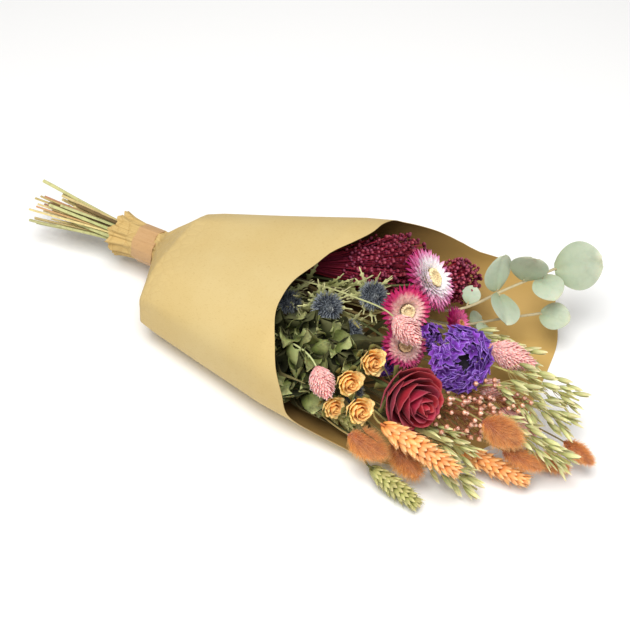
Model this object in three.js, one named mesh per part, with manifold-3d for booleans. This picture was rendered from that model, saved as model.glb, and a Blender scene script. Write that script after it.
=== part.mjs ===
// A mixed bouquet of dried flowers in a kraft paper wrap, lying on a table.
// Millimetres, +Z up. The stalks run along X, with their cut ends at -X and the blooms at +X.
// Places are written from the middle of the tie, where every stalk passes through the gathered paper, and
// the finished group is moved so that its origin is under the middle of the whole bouquet.
import * as THREE from "three";
import { mergeVertices } from "three/addons/utils/BufferGeometryUtils.js";
import Module from "manifold-3d";

const wasm = await Module();
wasm.setup();

// Driving dimensions
const TIE_HEIGHT = 35; // middle of the tie above the table
const PAPER = 0.9; // thickness of the sheet
const PAPER_SIDES = 22; // facets round the sheet
const GATHER = 17; // outer radius of the gathered paper under the tape
const PLEATS = 4.5; // thickness of its pressed pleats there
const TAPE = { halfWidth: 11, thickness: 0.8, gap: 0.35 };
const STALK_SIDES = 3; // every stalk shows a corner to the same side
const BLADE = 0.8; // thickness of petals and leaves
const BRACTS_AROUND = 10; // in each layer of a strawflower
const SEAT_GAP = 0.5; // between a bloom and the end of its own stalk
const CLEARANCE = 0.7; // between neighbours that don't touch
const TIED_GAP = 0.25; // between stalks that are pressed together in the tie
const TIED_REACH = 46; // how far from the middle of the tie they lie that close
const CUT_ENDS = { from: -142, to: -84 }; // where the stalks were cut
const TAIL_LEAN = { y: -0.03, z: 0.02 }; // the cut ends lean back and down behind the tie
const TAIL_SPREAD = 3.4;

// The paper's cross-section at some distances along the bouquet: half width on the viewer's side and on
// the far side, lowest and highest point. What would reach below the table is flattened on it.
const SECTIONS = [
  { x: -39, near: 22, far: 21, low: 14, high: 56 },
  { x: -28, near: 18.5, far: 18, low: 17, high: 53 },
  { x: -14, near: GATHER, far: GATHER, low: TIE_HEIGHT - GATHER, high: TIE_HEIGHT + GATHER },
  { x: 14, near: GATHER, far: GATHER, low: TIE_HEIGHT - GATHER, high: TIE_HEIGHT + GATHER },
  { x: 31, near: 52, far: 30, low: 6, high: 66 },
  { x: 46, near: 85, far: 44, low: -2, high: 78 },
  { x: 190, near: 117, far: 98, low: -5, high: 106 },
  { x: 300, near: 130, far: 140, low: -5, high: 116 },
  { x: 400, near: 137, far: 168, low: -5, high: 120 },
];
// Where the sheet ends, by the angle round the section: 0 is the far side and 90 the top.
const SHEET_EDGE = [
  [-90, 394], [-72, 388], [-55, 380], [-40, 370], [-25, 360], [-9, 346], [-4, 302], [1, 271], [6, 257],
  [12, 246], [20, 232], [30, 218], [56, 214], [70, 211], [80, 203], [90, 191], [100, 182], [114, 184],
  [131, 194], [151, 206], [177, 220],
  [203, 240], [212, 285], [235, 338], [250, 364], [270, 394],
];
const SQUARENESS = 2.9; // the section's exponent, where 2 is an ellipse
const GATHERED_ROWS = [-39, -28, -14, 14, 31, 46];
const SLEEVE_ROWS = 4;

// Every bloom, ear, spray and leafy branch: its name, its kind, where it meets its own stalk, the way it
// points, its length and its widest radius. Those that name a plant grow on one stalk, which forks at
// FORKS[plant].
const HEADS = [
  ["rose_bloom", "rose", [291, -57, 52], [0.84, -0.4, 0.36], 52, 29],
  ["spray_rose_bloom_1", "sprayRose", [266, -60, 66], [0.8, -0.4, 0.45], 22, 12, "spray_rose"],
  ["spray_rose_bloom_2", "sprayRose", [255, -83, 61], [0.8, -0.5, 0.35], 22, 12, "spray_rose"],
  ["spray_rose_bloom_3", "sprayRose", [272, -95, 55], [0.8, -0.5, 0.35], 22, 12, "spray_rose"],
  ["spray_rose_bloom_4", "sprayRose", [250, -96, 46], [0.8, -0.5, 0.25], 20, 10, "spray_rose"],
  ["strawflower_bloom_1", "strawflower", [271, 40, 75], [0.66, 0.22, 0.62], 20, 31],
  ["strawflower_bloom_2", "strawflower", [272, 6, 76], [0.62, -0.6, 0.5], 18, 23],
  ["strawflower_bloom_3", "strawflower", [284, -26, 60], [0.5, -0.35, 0.8], 15, 21],
  ["strawflower_bloom_4", "strawflower", [298, 28, 52], [0.85, 0.2, 0.45], 15, 18],
  ["thistle_head_1", "thistle", [198, -20, 72], [0.8, -0.45, 0.4], 32, 13, "thistle_a"],
  ["thistle_head_2", "thistle", [228, 12, 72], [0.75, -0.45, 0.47], 30, 12, "thistle_a"],
  ["thistle_head_3", "thistle", [156, -16, 56], [0.85, -0.4, 0.3], 28, 11, "thistle_b"],
  ["thistle_head_4", "thistle", [222, -22, 54], [0.85, -0.4, 0.3], 28, 11, "thistle_b"],
  ["thistle_head_5", "thistle", [252, -70, 40], [0.9, -0.35, 0.1], 24, 9.5, "thistle_b"],
  ["broom_bunch_1", "broom", [164, 36, 62], [0.9, 0.42, 0.06], 112, 33],
  ["broom_bunch_2", "broom", [258, 80, 40], [0.88, 0.2, 0.38], 52, 22],
  ["statice_bloom_1", "statice", [320, -16, 56], [0.8, -0.3, 0.5], 30, 28, "statice"],
  ["statice_bloom_2", "statice", [270, -36, 52], [0.8, -0.4, 0.4], 20, 9, "statice"],
  ["statice_bloom_3", "statice", [300, 1, 58], [0.85, 0, 0.5], 20, 11, "statice"],
  ["phalaris_1", "phalaris", [240, -88, 74], [0.72, -0.64, -0.2], 32, 10.5],
  ["phalaris_2", "phalaris", [276, -26, 98], [0.88, -0.42, -0.08], 36, 11],
  ["phalaris_3", "phalaris", [344, 24, 52], [1, 0, 0], 48, 12],
  ["phalaris_4", "phalaris", [352, -6, 38], [1, -0.2, 0], 30, 9],
  ["phalaris_5", "phalaris", [380, -22, 38], [0.98, -0.16, -0.06], 42, 9],
  ["wheat_1", "wheat", [309, -106, 62], [1, -0.04, -0.2], 82, 9.5],
  ["wheat_2", "wheat", [366, -68, 26], [1, 0.04, -0.1], 70, 8.5],
  ["wheat_3", "wheat", [236, -106, 26], [0.95, -0.18, -0.1], 52, 8.5],
  ["wheat_4", "wheat", [308, -116, 20], [0.97, -0.2, -0.13], 60, 8],
  ["bunny_tail_1", "bunnyTail", [284, -116, 40], [1, -0.03, -0.1], 42, 11.5],
  ["bunny_tail_2", "bunnyTail", [310, -102, 22], [0.86, -0.5, -0.04], 48, 11.5],
  ["bunny_tail_3", "bunnyTail", [380, -62, 58], [1, 0, -0.18], 42, 12],
  ["bunny_tail_4", "bunnyTail", [400, -64, 28], [1, 0.02, -0.1], 42, 8],
  ["bunny_tail_5", "bunnyTail", [440, -20, 24], [0.96, -0.25, -0.06], 38, 7],
  ["bunny_tail_6", "bunnyTail", [420, -38, 12], [1, 0.06, -0.03], 40, 7],
  ["oat_1", "oat", [372, 8, 50], [1, 0.02, -0.04], 78, 18],
  ["oat_2", "oat", [372, -18, 56], [1, -0.02, -0.12], 84, 16],
  ["oat_3", "oat", [384, -44, 46], [1, -0.08, -0.12], 86, 15],
  ["oat_4", "oat", [344, -94, 24], [0.98, -0.1, -0.12], 62, 14],
  ["oat_5", "oat", [318, 44, 34], [1, 0.02, 0], 80, 17],
  ["oat_6", "oat", [332, -74, 30], [1, -0.1, 0.04], 62, 15],
  ["flax_1", "flax", [322, -50, 36], [1, -0.06, 0.2], 78, 24],
  ["flax_2", "flax", [338, -22, 40], [1, 0, 0.14], 74, 20],
  ["leafy_stem_1", "leafy", [151, -55, 42], [0.93, -0.25, 0.22], 88, 24],
  ["leafy_stem_2", "leafy", [168, -76, 26], [0.96, -0.18, 0.06], 88, 22],
  ["leafy_stem_3", "leafy", [178, -40, 58], [0.94, -0.3, 0.06], 84, 22],
  ["eucalyptus_1", "eucalyptus", [300, 56, 48], [0.62, 0.74, 0.2], 100, 22],
  ["eucalyptus_2", "eucalyptus", [302, 60, 26], [0.8, 0.52, 0.14], 76, 20],
];
const FORKS = { spray_rose: 186, thistle_a: 140, thistle_b: 110, statice: 216 };
const STALK_RADIUS = {
  rose: 2.6, sprayRose: 1.9, strawflower: 1.7, thistle: 2, broom: 2, statice: 1.8, phalaris: 1.1,
  wheat: 1.3, bunnyTail: 1.1, oat: 1.3, flax: 1.5, leafy: 1.7, eucalyptus: 1.9,
};
const BRANCH_SHARE = 0.7; // a branch's radius over its stalk's
const FORK_SINK = 6; // how deep a branch starts inside its trunk

// The dense ears and tails: scales round them, the length of a row of scales, the body's radius over the
// ear's, where along it it is widest, how far the scales stand out over that radius and lean to the tip, and
// how far short of its full length it ends.
const EARS = {
  phalaris: { sides: 7, rowLength: 7.5, plump: 0.84, widest: 0.45, raise: 0.18, lean: 3, blunt: 3 },
  wheat: { sides: 5, rowLength: 8, plump: 0.66, widest: 0.42, raise: 0.36, lean: 4.5, blunt: 3 },
  bunnyTail: { sides: 7, rowLength: 8.5, plump: 0.92, widest: 0.48, raise: 0.12, lean: 1.5, blunt: 2 },
};

// Small tools

const vec = (x, y, z) => new THREE.Vector3(x, y, z);
const radians = THREE.MathUtils.degToRad;
const GOLDEN_ANGLE = 137.508;

function seeded(seed) {
  let state = seed;
  return () => {
    state = (state + 0x6d2b79f5) | 0;
    let mixed = Math.imul(state ^ (state >>> 15), 1 | state);
    mixed = (mixed + Math.imul(mixed ^ (mixed >>> 7), 61 | mixed)) ^ mixed;
    return ((mixed ^ (mixed >>> 14)) >>> 0) / 2 ** 32;
  };
}

// Reads a list of [x, y] pairs as a line through them.
function along(list, x) {
  let i = 0;
  while (i < list.length - 2 && x > list[i + 1][0]) i++;
  const [[x0, y0], [x1, y1]] = [list[i], list[i + 1]];
  return y0 + (y1 - y0) * THREE.MathUtils.clamp((x - x0) / (x1 - x0), 0, 1);
}

// A direction that leaves the Z axis by a tilt, at an angle round it, in degrees.
function leaning(tilt, angle) {
  const [t, a] = [radians(tilt), radians(angle)];
  return vec(Math.sin(t) * Math.cos(a), Math.sin(t) * Math.sin(a), Math.cos(t));
}

function turnTo(direction) {
  return new THREE.Quaternion().setFromUnitVectors(vec(0, 0, 1), direction.clone().normalize());
}

// Moves a piece that grows from the origin along +Z to its place.
function pose(geometry, at, direction) {
  return geometry.clone().applyQuaternion(turnTo(direction)).translate(at.x, at.y, at.z);
}

function solidOf(geometry) {
  const bare = new THREE.BufferGeometry();
  bare.setAttribute("position", geometry.attributes.position.clone());
  if (geometry.index) bare.setIndex(geometry.index.clone());
  const merged = mergeVertices(bare, 1e-4);
  const corners = merged.index.array;
  const faces = [];
  for (let i = 0; i < corners.length; i += 3) {
    const [a, b, c] = [corners[i], corners[i + 1], corners[i + 2]];
    if (a !== b && b !== c && c !== a) faces.push(a, b, c);
  }
  const vertProperties = new Float32Array(merged.attributes.position.array);
  return new wasm.Manifold(new wasm.Mesh({ numProp: 3, vertProperties, triVerts: new Uint32Array(faces) }));
}

function geometryOf(solid) {
  const mesh = solid.getMesh();
  const geometry = new THREE.BufferGeometry();
  geometry.setAttribute("position", new THREE.BufferAttribute(new Float32Array(mesh.vertProperties), 3));
  geometry.setIndex(new THREE.BufferAttribute(new Uint32Array(mesh.triVerts), 1));
  return geometry;
}

// Joins closed pieces in one solid, drops any scrap that stays loose, and merges the slivers that the cuts
// leave beside an edge.
const SLIVER = 0.04;

function fuse(geometries) {
  const bodies = wasm.Manifold.union(geometries.map(solidOf)).decompose();
  bodies.sort((a, b) => b.volume() - a.volume());
  return geometryOf(bodies[0].asOriginal().simplify(SLIVER));
}

// A closed surface over rings with the same number of points. Uncapped, the last ring meets the first.
function skin(rings, capped = true) {
  const n = rings[0].length;
  const faces = [];
  for (let r = 0; r < rings.length - (capped ? 1 : 0); r++) {
    const next = (r + 1) % rings.length;
    for (let i = 0; i < n; i++) {
      const j = (i + 1) % n;
      faces.push(r * n + i, r * n + j, next * n + j, r * n + i, next * n + j, next * n + i);
    }
  }
  if (capped) {
    const last = (rings.length - 1) * n;
    for (let i = 1; i + 1 < n; i++) faces.push(0, i + 1, i, last, last + i, last + i + 1);
  }
  return new THREE.BufferGeometry().setFromPoints(rings.flat()).setIndex(faces);
}

// A stalk through the given points, which run towards +X. Its rings lie in planes across X.
function stalkTube(points, radius) {
  const ring = (p) =>
    Array.from({ length: STALK_SIDES }, (_, i) => {
      const angle = (2 * Math.PI * i) / STALK_SIDES;
      return vec(p.x, p.y + radius * Math.cos(angle), p.z + radius * Math.sin(angle));
    });
  return skin(points.map(ring));
}

// A thin straight rod between two points.
function rod(a, b, radius, sides = 3) {
  const length = a.distanceTo(b);
  const ring = (z) =>
    Array.from({ length: sides }, (_, i) => {
      const angle = (2 * Math.PI * i) / sides;
      return vec(radius * Math.cos(angle), radius * Math.sin(angle), z);
    });
  return pose(skin([ring(0), ring(length)]), a, b.clone().sub(a));
}

// A pointed scale, bract or awn with a three-sided section: it swells at its middle if it has one, and ends
// in a point. Its keel is on the side away from `face`.
function spike(root, direction, face, length, width, thickness, middle = 0) {
  const z = direction.clone().normalize();
  const y = face.clone().addScaledVector(z, -face.dot(z)).normalize();
  const x = y.clone().cross(z);
  const at = (u, v, w) => root.clone().addScaledVector(x, u).addScaledVector(y, v).addScaledVector(z, w);
  const section = (w, half) => [at(-half, 0, w), at(half, 0, w), at(0, -thickness, w)];
  const rings = [section(0, middle ? width * 0.32 : width * 0.5)];
  if (middle) rings.push(section(length * middle, width * 0.5));
  const points = [...rings.flat(), at(0, -thickness * 0.4, length)];
  const faces = [0, 1, 2];
  for (let i = 0; i < 3; i++) {
    const j = (i + 1) % 3;
    if (middle) faces.push(i, 3 + j, j, i, 3 + i, 3 + j);
    const base = middle ? 3 : 0;
    faces.push(base + i, points.length - 1, base + j);
  }
  return new THREE.BufferGeometry().setFromPoints(points).setIndex(faces);
}

// A body turned about Z, from [radius, height] pairs that start and end on the axis.
function turned(profile, sides) {
  const outline = profile.map(([r, z]) => new THREE.Vector2(r, z));
  return new THREE.LatheGeometry(outline, sides).rotateX(Math.PI / 2);
}

// An egg along Z, widest at the given share of its height, whose surface rises in a pointed scale over every
// facet. The points stand out by `raise` and lean towards the tip by `lean`.
function scalyEgg({ low, high, radius, sides, rows, widest, raise, lean }) {
  const bend = Math.log(0.5) / Math.log(widest);
  const ring = (r) => {
    const across = radius * Math.sin(Math.PI * (r / rows) ** bend);
    return Array.from({ length: sides }, (_, i) => {
      const angle = (2 * Math.PI * (i + (r % 2) / 2)) / sides;
      return vec(across * Math.cos(angle), across * Math.sin(angle), low + ((high - low) * r) / rows);
    });
  };
  const rings = Array.from({ length: rows - 1 }, (_, r) => ring(r + 1));
  const points = [...rings.flat(), vec(0, 0, low), vec(0, 0, high)];
  const [foot, tip] = [points.length - 2, points.length - 1];
  const faces = [];
  const scale = (corners, forward) => {
    const middle = corners.reduce((sum, c) => sum.add(points[c]), vec(0, 0, 0)).divideScalar(corners.length);
    const [a, b, c] = corners.map((k) => points[k]);
    const out = b.clone().sub(a).cross(c.clone().sub(a)).normalize();
    const up = vec(0, 0, 1).addScaledVector(out, -out.z).normalize();
    points.push(middle.addScaledVector(out, raise).addScaledVector(up, forward));
    corners.forEach((k, i) => faces.push(k, corners[(i + 1) % corners.length], points.length - 1));
  };
  const last = rings.length - 1;
  for (let i = 0; i < sides; i++) {
    scale([foot, (i + 1) % sides, i], 0);
    for (let r = 0; r < last; r++) {
      const [a, b] = [r * sides + i, r * sides + ((i + 1) % sides)];
      scale([a, b, b + sides, a + sides], lean);
    }
    scale([last * sides + i, last * sides + ((i + 1) % sides), tip], lean * 0.3);
  }
  return new THREE.BufferGeometry().setFromPoints(points).setIndex(faces);
}

// An eight-faced grain or bead with its length along the direction.
function grain(middle, direction, length, width) {
  const eight = new THREE.OctahedronGeometry(1, 0).scale(width / 2, width / 2, length / 2);
  return pose(eight, middle, direction);
}

// A blade with thickness over a grid. surface(u, v) is a point of its outer face, with u across from left
// to right and v from root to tip, both 0 to 1.
function blade(surface, columns, rows, thickness) {
  const outer = [];
  for (let r = 0; r <= rows; r++) {
    outer.push(Array.from({ length: columns + 1 }, (_, c) => surface(c / columns, r / rows)));
  }
  const normal = (r, c) => {
    const a = outer[r][Math.min(c + 1, columns)].clone().sub(outer[r][Math.max(c - 1, 0)]);
    const b = outer[Math.min(r + 1, rows)][c].clone().sub(outer[Math.max(r - 1, 0)][c]);
    return a.cross(b).normalize();
  };
  const inner = outer.map((row, r) => row.map((p, c) => p.clone().addScaledVector(normal(r, c), -thickness)));
  const n = columns + 1;
  const under = n * (rows + 1);
  const faces = [];
  for (let r = 0; r < rows; r++) {
    for (let c = 0; c < columns; c++) {
      const [a, b, d, e] = [r * n + c, r * n + c + 1, (r + 1) * n + c + 1, (r + 1) * n + c];
      faces.push(a, b, d, a, d, e);
      faces.push(a + under, d + under, b + under, a + under, e + under, d + under);
    }
  }
  const rim = [];
  for (let c = 0; c < columns; c++) rim.push(c);
  for (let r = 0; r < rows; r++) rim.push(r * n + columns);
  for (let c = columns; c > 0; c--) rim.push(rows * n + c);
  for (let r = rows; r > 0; r--) rim.push(r * n);
  rim.forEach((a, k) => {
    const b = rim[(k + 1) % rim.length];
    faces.push(a, a + under, b + under, a, b + under, b);
  });
  return new THREE.BufferGeometry().setFromPoints([...outer.flat(), ...inner.flat()]).setIndex(faces);
}

// The paper wrap: one sheet rolled round the stalks, gathered under the tape, with a frill behind it

function sectionAt(x) {
  const read = (key) => along(SECTIONS.map((s) => [s.x, s[key]]), x);
  const [low, high] = [read("low"), read("high")];
  return { near: read("near"), far: read("far"), middle: (low + high) / 2, half: (high - low) / 2 };
}

const exponentAt = (x) => along([[14, 2], [60, SQUARENESS]], x);
const wallAt = (x) => along([[-39, PAPER], [-14, PLEATS], [14, PLEATS], [46, PAPER]], x);

function paperPoint(x, angle, inset) {
  const { near, far, middle, half } = sectionAt(x);
  const [c, s] = [Math.cos(radians(angle)), Math.sin(radians(angle))];
  const power = 2 / exponentAt(x);
  const y = ((c > 0 ? far : near) - inset) * Math.sign(c) * Math.abs(c) ** power;
  const z = middle + (half - inset) * Math.sign(s) * Math.abs(s) ** power;
  return vec(x, y, Math.max(z, inset));
}

const sheetEdge = (angle) => along(SHEET_EDGE, angle > 270 ? angle - 360 : angle);

function paperWrap() {
  const start = GATHERED_ROWS.at(-1);
  const ringAt = (row, wall) =>
    Array.from({ length: PAPER_SIDES }, (_, i) => {
      const angle = -90 + (360 * i) / PAPER_SIDES;
      const share = Math.max(0, row - GATHERED_ROWS.length + 1) / SLEEVE_ROWS;
      const x = GATHERED_ROWS[row] ?? start + (sheetEdge(angle) - start) * share;
      return paperPoint(x, angle, wall(x));
    });
  const rows = Array.from({ length: GATHERED_ROWS.length + SLEEVE_ROWS }, (_, r) => r);
  const outside = rows.map((r) => ringAt(r, () => 0));
  const inside = rows.map((r) => ringAt(r, wallAt)).reverse();
  return skin([...outside, ...inside], false);
}

function neckTape() {
  const ring = (x, out) =>
    Array.from({ length: PAPER_SIDES }, (_, i) => paperPoint(x, -90 + (360 * i) / PAPER_SIDES, -out));
  const { halfWidth, thickness, gap } = TAPE;
  const outer = gap + thickness;
  const corners = [[-halfWidth, outer], [halfWidth, outer], [halfWidth, gap], [-halfWidth, gap]];
  return skin(corners.map(([x, out]) => ring(x, out)), false);
}

// How far a point is inside the paper: above 0 it is clear of the sheet and the table.
function paperRoom(p) {
  if (p.x < -50) return p.z;
  const { near, far, middle, half } = sectionAt(p.x);
  const wall = wallAt(p.x);
  const wide = (p.y > 0 ? far : near) - wall;
  const [dy, dz] = [p.y / wide, (p.z - middle) / (half - wall)];
  const angle = THREE.MathUtils.radToDeg(Math.atan2(dz, dy));
  const edge = sheetEdge(angle < -90 ? angle + 360 : angle);
  if (p.x > edge + 3) return p.z;
  const n = exponentAt(p.x);
  const reach = (Math.abs(dy) ** n + Math.abs(dz) ** n) ** (1 / n);
  const facet = 1 - Math.cos(Math.PI / PAPER_SIDES);
  return Math.min((1 - reach - facet) * Math.min(wide, half), p.z - PAPER);
}

// Room in the bouquet: what is already placed is held as a list of round-ended rods

const taken = [];

function closest(p, a, b) {
  const line = b.clone().sub(a);
  const share = THREE.MathUtils.clamp(p.clone().sub(a).dot(line) / Math.max(line.lengthSq(), 1e-9), 0, 1);
  return a.clone().addScaledVector(line, share);
}

// The nearest points of two straight lines, found by closing in from both.
function nearest(a, b, c, d, rounds) {
  let p = a.clone().lerp(b, 0.5);
  let q = closest(p, c, d);
  for (let k = 0; k < rounds; k++) {
    p = closest(q, a, b);
    q = closest(p, c, d);
  }
  return [p, q];
}

// Whether a rod of this radius is clear of the paper, the table and all that is taken. What the given owners
// hold doesn't count, except their bracts, leaves and grains where those are to stay apart too.
function isClear(a, b, radius, owners, apart = false) {
  for (const share of [0, 0.25, 0.5, 0.75, 1]) {
    if (paperRoom(a.clone().lerp(b, share)) < radius + CLEARANCE) return false;
  }
  const [low, high] = [a.clone().min(b), a.clone().max(b)];
  return taken.every((t) => {
    if (owners.includes(t.owner) && !(apart && t.part)) return true;
    const reach = radius + t.radius + (owners.includes(t.owner) ? 0 : CLEARANCE);
    const farOff = (k) => t.low[k] - reach > high[k] || t.high[k] + reach < low[k];
    if (farOff("x") || farOff("y") || farOff("z")) return true;
    const [p, q] = nearest(a, b, t.a, t.b, 12);
    return p.distanceTo(q) > reach;
  });
}

function take(a, b, radius, owner, part = false) {
  taken.push({ a, b, radius, owner, part, low: a.clone().min(b), high: a.clone().max(b) });
}

const AXIS_SHARE = 0.7; // how far up a loose spray its middle stalk runs
const AXIS_RADIUS = 1.3;

// The round-ended rods that a solid head fills, in its own frame.
function bulk(head) {
  const { kind, length, radius } = head;
  const up = (z) => vec(0, 0, z);
  if (kind === "rose") return [[up(25), up(27), radius], [up(4), up(10), 9]];
  if (kind === "sprayRose") return [[up(length * 0.55), up(length * 0.62), radius + 1]];
  if (kind === "thistle") return [[up(radius * 0.8), up(length - radius), radius + 0.5]];
  if (kind === "statice") return [[up(length * 0.5), up(length - radius * 0.8), radius + 0.5]];
  if (kind === "strawflower") {
    const plate = Array.from({ length: 5 }, (_, k) => {
      const out = leaning(90, k * 36).multiplyScalar(radius - 5);
      return [up(length * 0.6).sub(out), up(length * 0.6).add(out), 6];
    });
    return [...plate, [up(5), up(length), 8]];
  }
  if (kind in EARS) return [[up(radius * 0.9), up(length - radius * 0.9), radius]];
  if (kind === "broom") {
    return [[up(length * 0.54), up(length * 0.68), radius * 0.78], [up(6), up(length * 0.5), 5]];
  }
  return [[up(2), up(length * AXIS_SHARE), AXIS_RADIUS]];
}

const inPlace = (head, point) => point.clone().applyQuaternion(turnTo(head.to)).add(head.at);

function bulkInPlace(head) {
  return bulk(head).map(([a, b, radius]) => ({ a: inPlace(head, a), b: inPlace(head, b), radius }));
}

// Neighbouring heads push each other apart until they are clear, and each is held near its own place.
function settleHeads(heads) {
  const home = heads.map((h) => h.at.clone());
  for (let round = 0; round < 160; round++) {
    const hold = 0.06 * (1 - round / 150);
    heads.forEach((h, i) => h.at.addScaledVector(home[i].clone().sub(h.at), Math.max(hold, 0)));
    const rods = heads.map(bulkInPlace);
    heads.forEach((one, i) => {
      for (const { a, b, radius } of rods[i]) {
        const floor = a.x < SHEET_EDGE[0][1] ? PAPER : 0;
        const sunk = floor + radius + CLEARANCE - Math.min(a.z, b.z);
        if (sunk > 0) one.at.z += sunk;
        const tight = radius + CLEARANCE - Math.min(paperRoom(a), paperRoom(b));
        if (tight > 0) one.at.y -= Math.sign(one.at.y) * tight * 0.5;
      }
      for (let j = i + 1; j < heads.length; j++) {
        const two = heads[j];
        if (one.at.distanceTo(two.at) > 140) continue;
        for (const r of rods[i]) {
          for (const s of rods[j]) {
            const [p, q] = nearest(r.a, r.b, s.a, s.b, 6);
            const apart = p.clone().sub(q);
            const over = r.radius + s.radius + CLEARANCE - apart.length();
            if (over <= 0) continue;
            apart.normalize().multiplyScalar(over * 0.3);
            one.at.add(apart);
            two.at.sub(apart);
          }
        }
      }
    });
  }
}

// Stalks: each runs from its cut end through the tie to its bloom, or to the fork of its plant. The points
// of each line lie in planes across X, and are pushed clear of other stalks, of heads and of the paper.

const PLANES = [-22, 22, 68, 120, 175, 230, 285, 340, 395];
const TIE = vec(0, 0, TIE_HEIGHT);
const SITE_SHARE = 34; // how far along its own slope a stalk stands off the middle of the tie
const LOOK = 12; // spacing of the places where lines are compared
const FREE_PAST_FORK = 26; // branches of one plant may touch this near their fork
const FACING = 0.87; // two such stalks meet at this share of the sum of their radii, whichever way they face
const PULL = 0.05; // how strongly the tie draws the stalks to its middle

function firstLine(start, end, tail, radius, key, head) {
  const slope = end.clone().sub(TIE).divideScalar(end.x);
  const site = TIE.clone().add(vec(0, slope.y, slope.z).multiplyScalar(SITE_SHARE));
  const pointAt = (x) => {
    if (!tail) return start.clone().lerp(end, (x - start.x) / (end.x - start.x));
    if (x > 0) return site.clone().lerp(end, x / end.x);
    const spread = 1 + ((TAIL_SPREAD - 1) * x) / CUT_ENDS.from;
    const off = site.clone().sub(TIE).multiplyScalar(spread);
    return vec(x, x * TAIL_LEAN.y + off.y, TIE_HEIGHT + x * TAIL_LEAN.z + off.z);
  };
  const inner = PLANES.filter((x) => x > start.x + 14 && x < end.x - 10);
  const points = [start.x, ...inner].map((x) => vec(x, pointAt(x).y, pointAt(x).z));
  return { points: [...points, end.clone()], tail, radius, key, head };
}

function makeLines(heads, random) {
  const plants = new Map();
  for (const head of heads) {
    plants.set(head.plant, [...(plants.get(head.plant) ?? []), head]);
  }
  const lines = [];
  for (const [key, members] of plants) {
    const radius = STALK_RADIUS[members[0].kind];
    const cut = vec(CUT_ENDS.from + (CUT_ENDS.to - CUT_ENDS.from) * random(), 0, 0);
    if (members.length === 1) {
      lines.push(firstLine(cut, members[0].at, true, radius, key, members[0]));
      continue;
    }
    const middle = members.reduce((sum, h) => sum.add(h.at), vec(0, 0, 0)).divideScalar(members.length);
    const fork = TIE.clone().lerp(middle, FORKS[key] / middle.x);
    const trunk = firstLine(cut, fork, true, radius, key, null);
    lines.push(trunk);
    for (const head of members) {
      lines.push({ ...firstLine(fork, head.at, false, radius * BRANCH_SHARE, key, head), trunk });
    }
  }
  return lines;
}

function settleLines(lines, heads) {
  const rods = heads.flatMap((head) => bulkInPlace(head).map((rod) => ({ ...rod, head })));
  const looks = [];
  const everywhere = Array.from({ length: 52 }, (_, k) => CUT_ENDS.from + LOOK * k);
  for (const x of [...everywhere, ...GATHERED_ROWS]) {
    const at = [];
    for (const line of lines) {
      const i = line.points.findIndex((p, k) => k > 0 && line.points[k - 1].x <= x && p.x >= x);
      if (i < 1) continue;
      const [before, after] = [line.points[i - 1], line.points[i]];
      at.push({ line, i, share: (x - before.x) / (after.x - before.x) });
    }
    looks.push({ x, at });
  }
  const place = ({ line, i, share }) => line.points[i - 1].clone().lerp(line.points[i], share);
  const nudge = ({ line, i, share }, dy, dz) => {
    const ends = [[i - 1, 1 - share], [i, share]];
    for (const [k, part] of ends) {
      if (k === line.points.length - 1 && line.head) continue;
      line.points[k].y += dy * part;
      line.points[k].z += dz * part;
    }
  };
  for (let round = 0; round < 300; round++) {
    const soften = 0.12 * (1 - round / 220);
    const pull = PULL * Math.min(1, 2 - round / 120);
    for (const line of lines) {
      if (line.trunk) line.points[0].copy(line.trunk.points[line.trunk.points.length - 1]);
      for (let k = 1; k + 1 < line.points.length && soften > 0; k++) {
        const [before, here, after] = line.points.slice(k - 1, k + 2);
        const even = before.clone().lerp(after, (here.x - before.x) / (after.x - before.x));
        here.lerp(even, soften);
      }
    }
    for (const { x, at } of looks) {
      const tied = Math.abs(x) < TIED_REACH;
      if (tied && pull > 0) {
        for (const one of at) {
          const { y, z } = place(one);
          nudge(one, -y * pull, (TIE_HEIGHT - z) * pull);
        }
      }
      const gap = tied ? TIED_GAP : CLEARANCE;
      const spots = at.map(place);
      at.forEach((one, i) => {
        const p = spots[i];
        const room = paperRoom(p) - one.line.radius - CLEARANCE;
        if (room < 0 && (x > -50 || p.z < 12)) {
          const { middle } = sectionAt(x);
          const inward = x < -50 ? vec(0, 0, 1) : vec(0, -p.y, middle - p.z).normalize();
          nudge(one, -inward.y * room * 0.8, -inward.z * room * 0.8);
        }
        for (const rod of rods) {
          if (rod.head === one.line.head) continue;
          const q = closest(p, rod.a, rod.b);
          const over = rod.radius + one.line.radius + CLEARANCE - p.distanceTo(q);
          if (over <= 0) continue;
          const away = vec(0, p.y - q.y, p.z - q.z);
          if (away.length() < 0.5) away.set(0, 0.3, -1);
          away.normalize().multiplyScalar(over * 0.6);
          nudge(one, away.y, away.z);
        }
        for (let j = i + 1; j < at.length; j++) {
          const two = at[j];
          if (one.line.key === two.line.key && x < FORKS[one.line.key] + FREE_PAST_FORK) continue;
          const apart = vec(0, p.y - spots[j].y, p.z - spots[j].z);
          const over = (one.line.radius + two.line.radius) * FACING + gap - apart.length();
          if (over <= 0) continue;
          if (apart.length() < 0.01) apart.set(0, 0.1, 1);
          apart.normalize().multiplyScalar(over * 0.4);
          nudge(one, apart.y, apart.z);
          nudge(two, -apart.y, -apart.z);
        }
      });
    }
  }
  for (const line of lines) if (line.trunk) line.points[0].copy(line.trunk.points.at(-1));
}

function takeLine({ points, radius, key }) {
  for (let k = 1; k < points.length; k++) take(points[k - 1], points[k], radius, key);
}

// Blooms that sit on a stalk of their own colour apart from it

const seatOf = (head) => head.at.clone().add(vec(SEAT_GAP, 0, 0));
const onSeat = (head, pieces) => fuse(pieces.map((piece) => pose(piece, seatOf(head), head.to)));

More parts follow.
